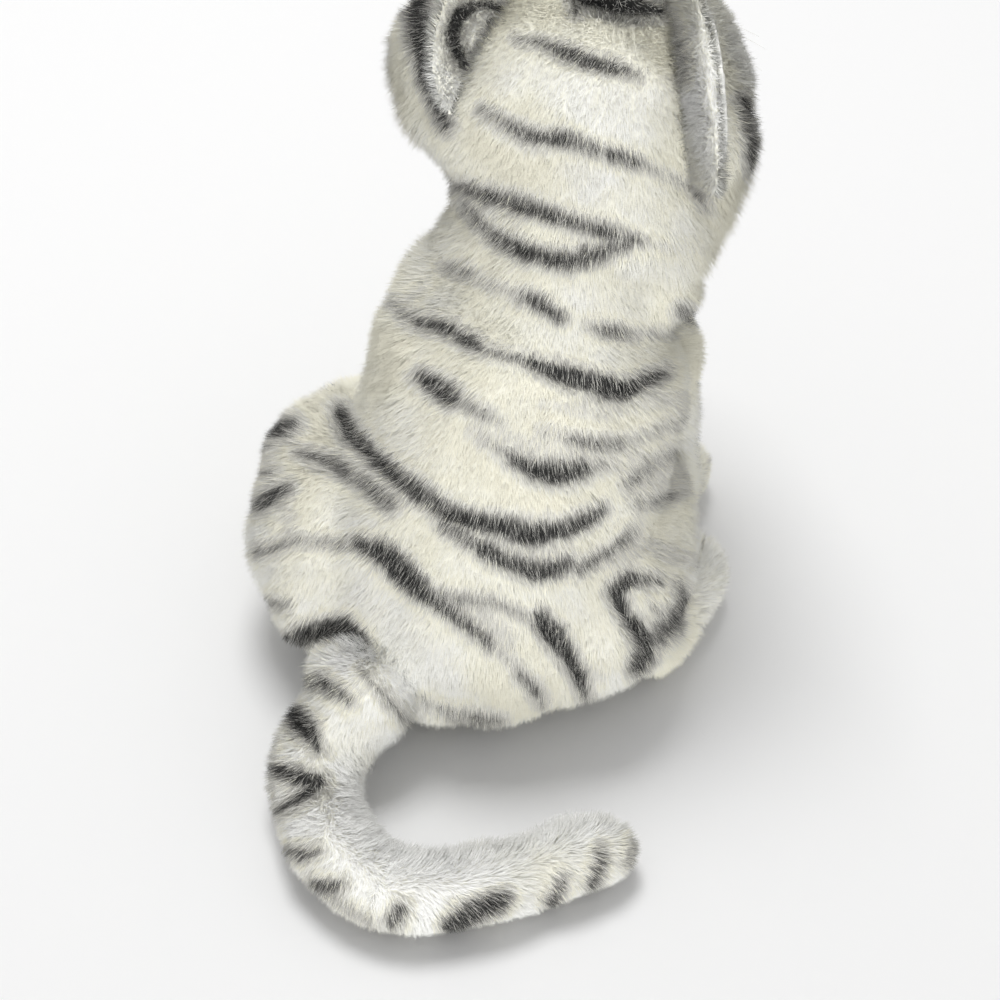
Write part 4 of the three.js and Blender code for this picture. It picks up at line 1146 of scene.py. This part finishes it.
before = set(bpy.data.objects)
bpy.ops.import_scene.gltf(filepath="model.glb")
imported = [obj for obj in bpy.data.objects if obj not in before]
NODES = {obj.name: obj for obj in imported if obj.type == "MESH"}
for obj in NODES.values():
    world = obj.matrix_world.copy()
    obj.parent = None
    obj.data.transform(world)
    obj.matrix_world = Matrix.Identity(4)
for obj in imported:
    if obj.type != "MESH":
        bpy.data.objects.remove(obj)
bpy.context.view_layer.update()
RNG = np.random.default_rng(SEED)
FIBRES = pile_material()
BACKING = backing_material()
DENSITY = 2.2
WIDTH = 0.34
EYES = [turned_part(f"eye_{side}", HEAD_AT) for side in EARS]
nose_points, _ = mesh_arrays(NODES["nose"].data)
nose_points = nose_points[nose_points[:, 1] < -150]
NOSE_BOX = nose_points.min(0), nose_points.max(0)

make_camera()

body_nodes = ["torso", "thigh_left", "thigh_right", "hind_foot_left", "hind_foot_right", "head", "muzzle", "chin"]
fillers = [ball_arrays(at, SHOULDER_BALL) for at in SHOULDERS] + [ball_arrays(TAIL_LINE[0], TAIL_ROOT_BALL)]
body_skin = stuffed_skin("plush_body", body_nodes, fillers, voxel=3.2, rounds=14)
inset(body_skin, body_length, swells=BODY_SWELLS, valleys=body_tone)
dress("body", body_skin, body_way, body_reach, body_tone, neck_join, bare_face)
skin_tree = mesh_tree(body_skin.data)
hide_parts(*body_nodes)
make_mouth(skin_tree)
make_whiskers(skin_tree)

for side in EARS:
    nodes = [f"front_leg_{side}", f"front_paw_{side}"]
    leg = stuffed_skin(f"plush_front_leg_{side}", nodes, voxel=2.8, rounds=8)
    inset(leg, leg_length, swells=LEG_SWELLS)
    dress(f"front_leg_{side}", leg, leg_way, leg_reach, leg_tone, rides(nodes[0]))
    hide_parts(*nodes)

tail = stuffed_skin("plush_tail", ["tail_base", "tail_middle", "tail_tip"], voxel=3.5, rounds=6)
inset(tail, evenly(TAIL_INSET))
split_at = TAIL_LINE[TAIL_SPLIT]
split_way = unit(TAIL_LINE[TAIL_SPLIT + 1] - TAIL_LINE[TAIL_SPLIT - 1])
tail_end = cut_off(tail, split_at, split_way, "plush_tail_end")
bend_middle = bends()
bend_tip = bends()
split_face = lambda p, n: (np.abs((p - split_at) @ split_way) < 0.4) * (np.abs(n @ split_way) > 0.5)
tail_tone = lambda p, n: picture_tone(p, n, TAIL_STROKES)
for piece, name, nodes, join in (
        (tail, "tail", ["tail_base", "tail_middle"], bend_middle), (tail_end, "tail_end", ["tail_tip"], bend_tip)):
    # cream=-0.9 gives the tail the cleanest whites: partly its own cleaner white, partly painted light standing in
    # for the light falling on it from above.
    dress(name, piece, tail_way, evenly(TAIL_PILE), tail_tone, join, split_face, cream=-0.9, denser=1.3)
    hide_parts(*nodes)

ear_cloths = [mottled_material(name) for name in ("ear_lining_velour", "ear_piping_cloth")]
for side in EARS:
    ear = {key: ear_turn(side) @ way for key, way in ear_ways(side).items()}
    from_lining = make_ear_lining(side, ear, *ear_cloths)
    back = stuffed_skin(f"plush_ear_{side}", [f"ear_back_{side}"], voxel=1.8, rounds=5)
    turn_ear(back, side)
    inset(back, evenly(EAR_INSET), lumps=0.4)
    # cream=-0.5 gives the ear backs whiter fibres: painted light that lifts the shade where they turn towards the
    # head.
    dress(f"ear_{side}", back, lambda p: np.tile(ear["rise"], (len(p), 1)), evenly(EAR_PILE),
          lambda p, n: picture_tone(p, n, EAR_STROKES[side]), rides(f"ear_{side}"),
          lambda p, n: ease(0.3, 0.6, n @ ear["facing"]) * ease(2.2, 1.2, from_lining(p)),
          cream=-0.5, denser=1.5, finer=0.9)
    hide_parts(f"ear_back_{side}")

for side, (axis, pole) in zip(EARS, EYES):
    assign(f"eye_{side}", eye_material(f"eye_plastic_{side}", axis, pole))
    assign(f"eye_washer_{side}", mottled_material(f"washer_plastic_{side}", "washer_plastic"))
assign("nose", mottled_material("nose_plastic"))
assign("nose_washer", mottled_material("washer_plastic_nose", "washer_plastic"))
assign("pellet_pouch", mottled_material("pouch_cloth"))

make_surroundings()
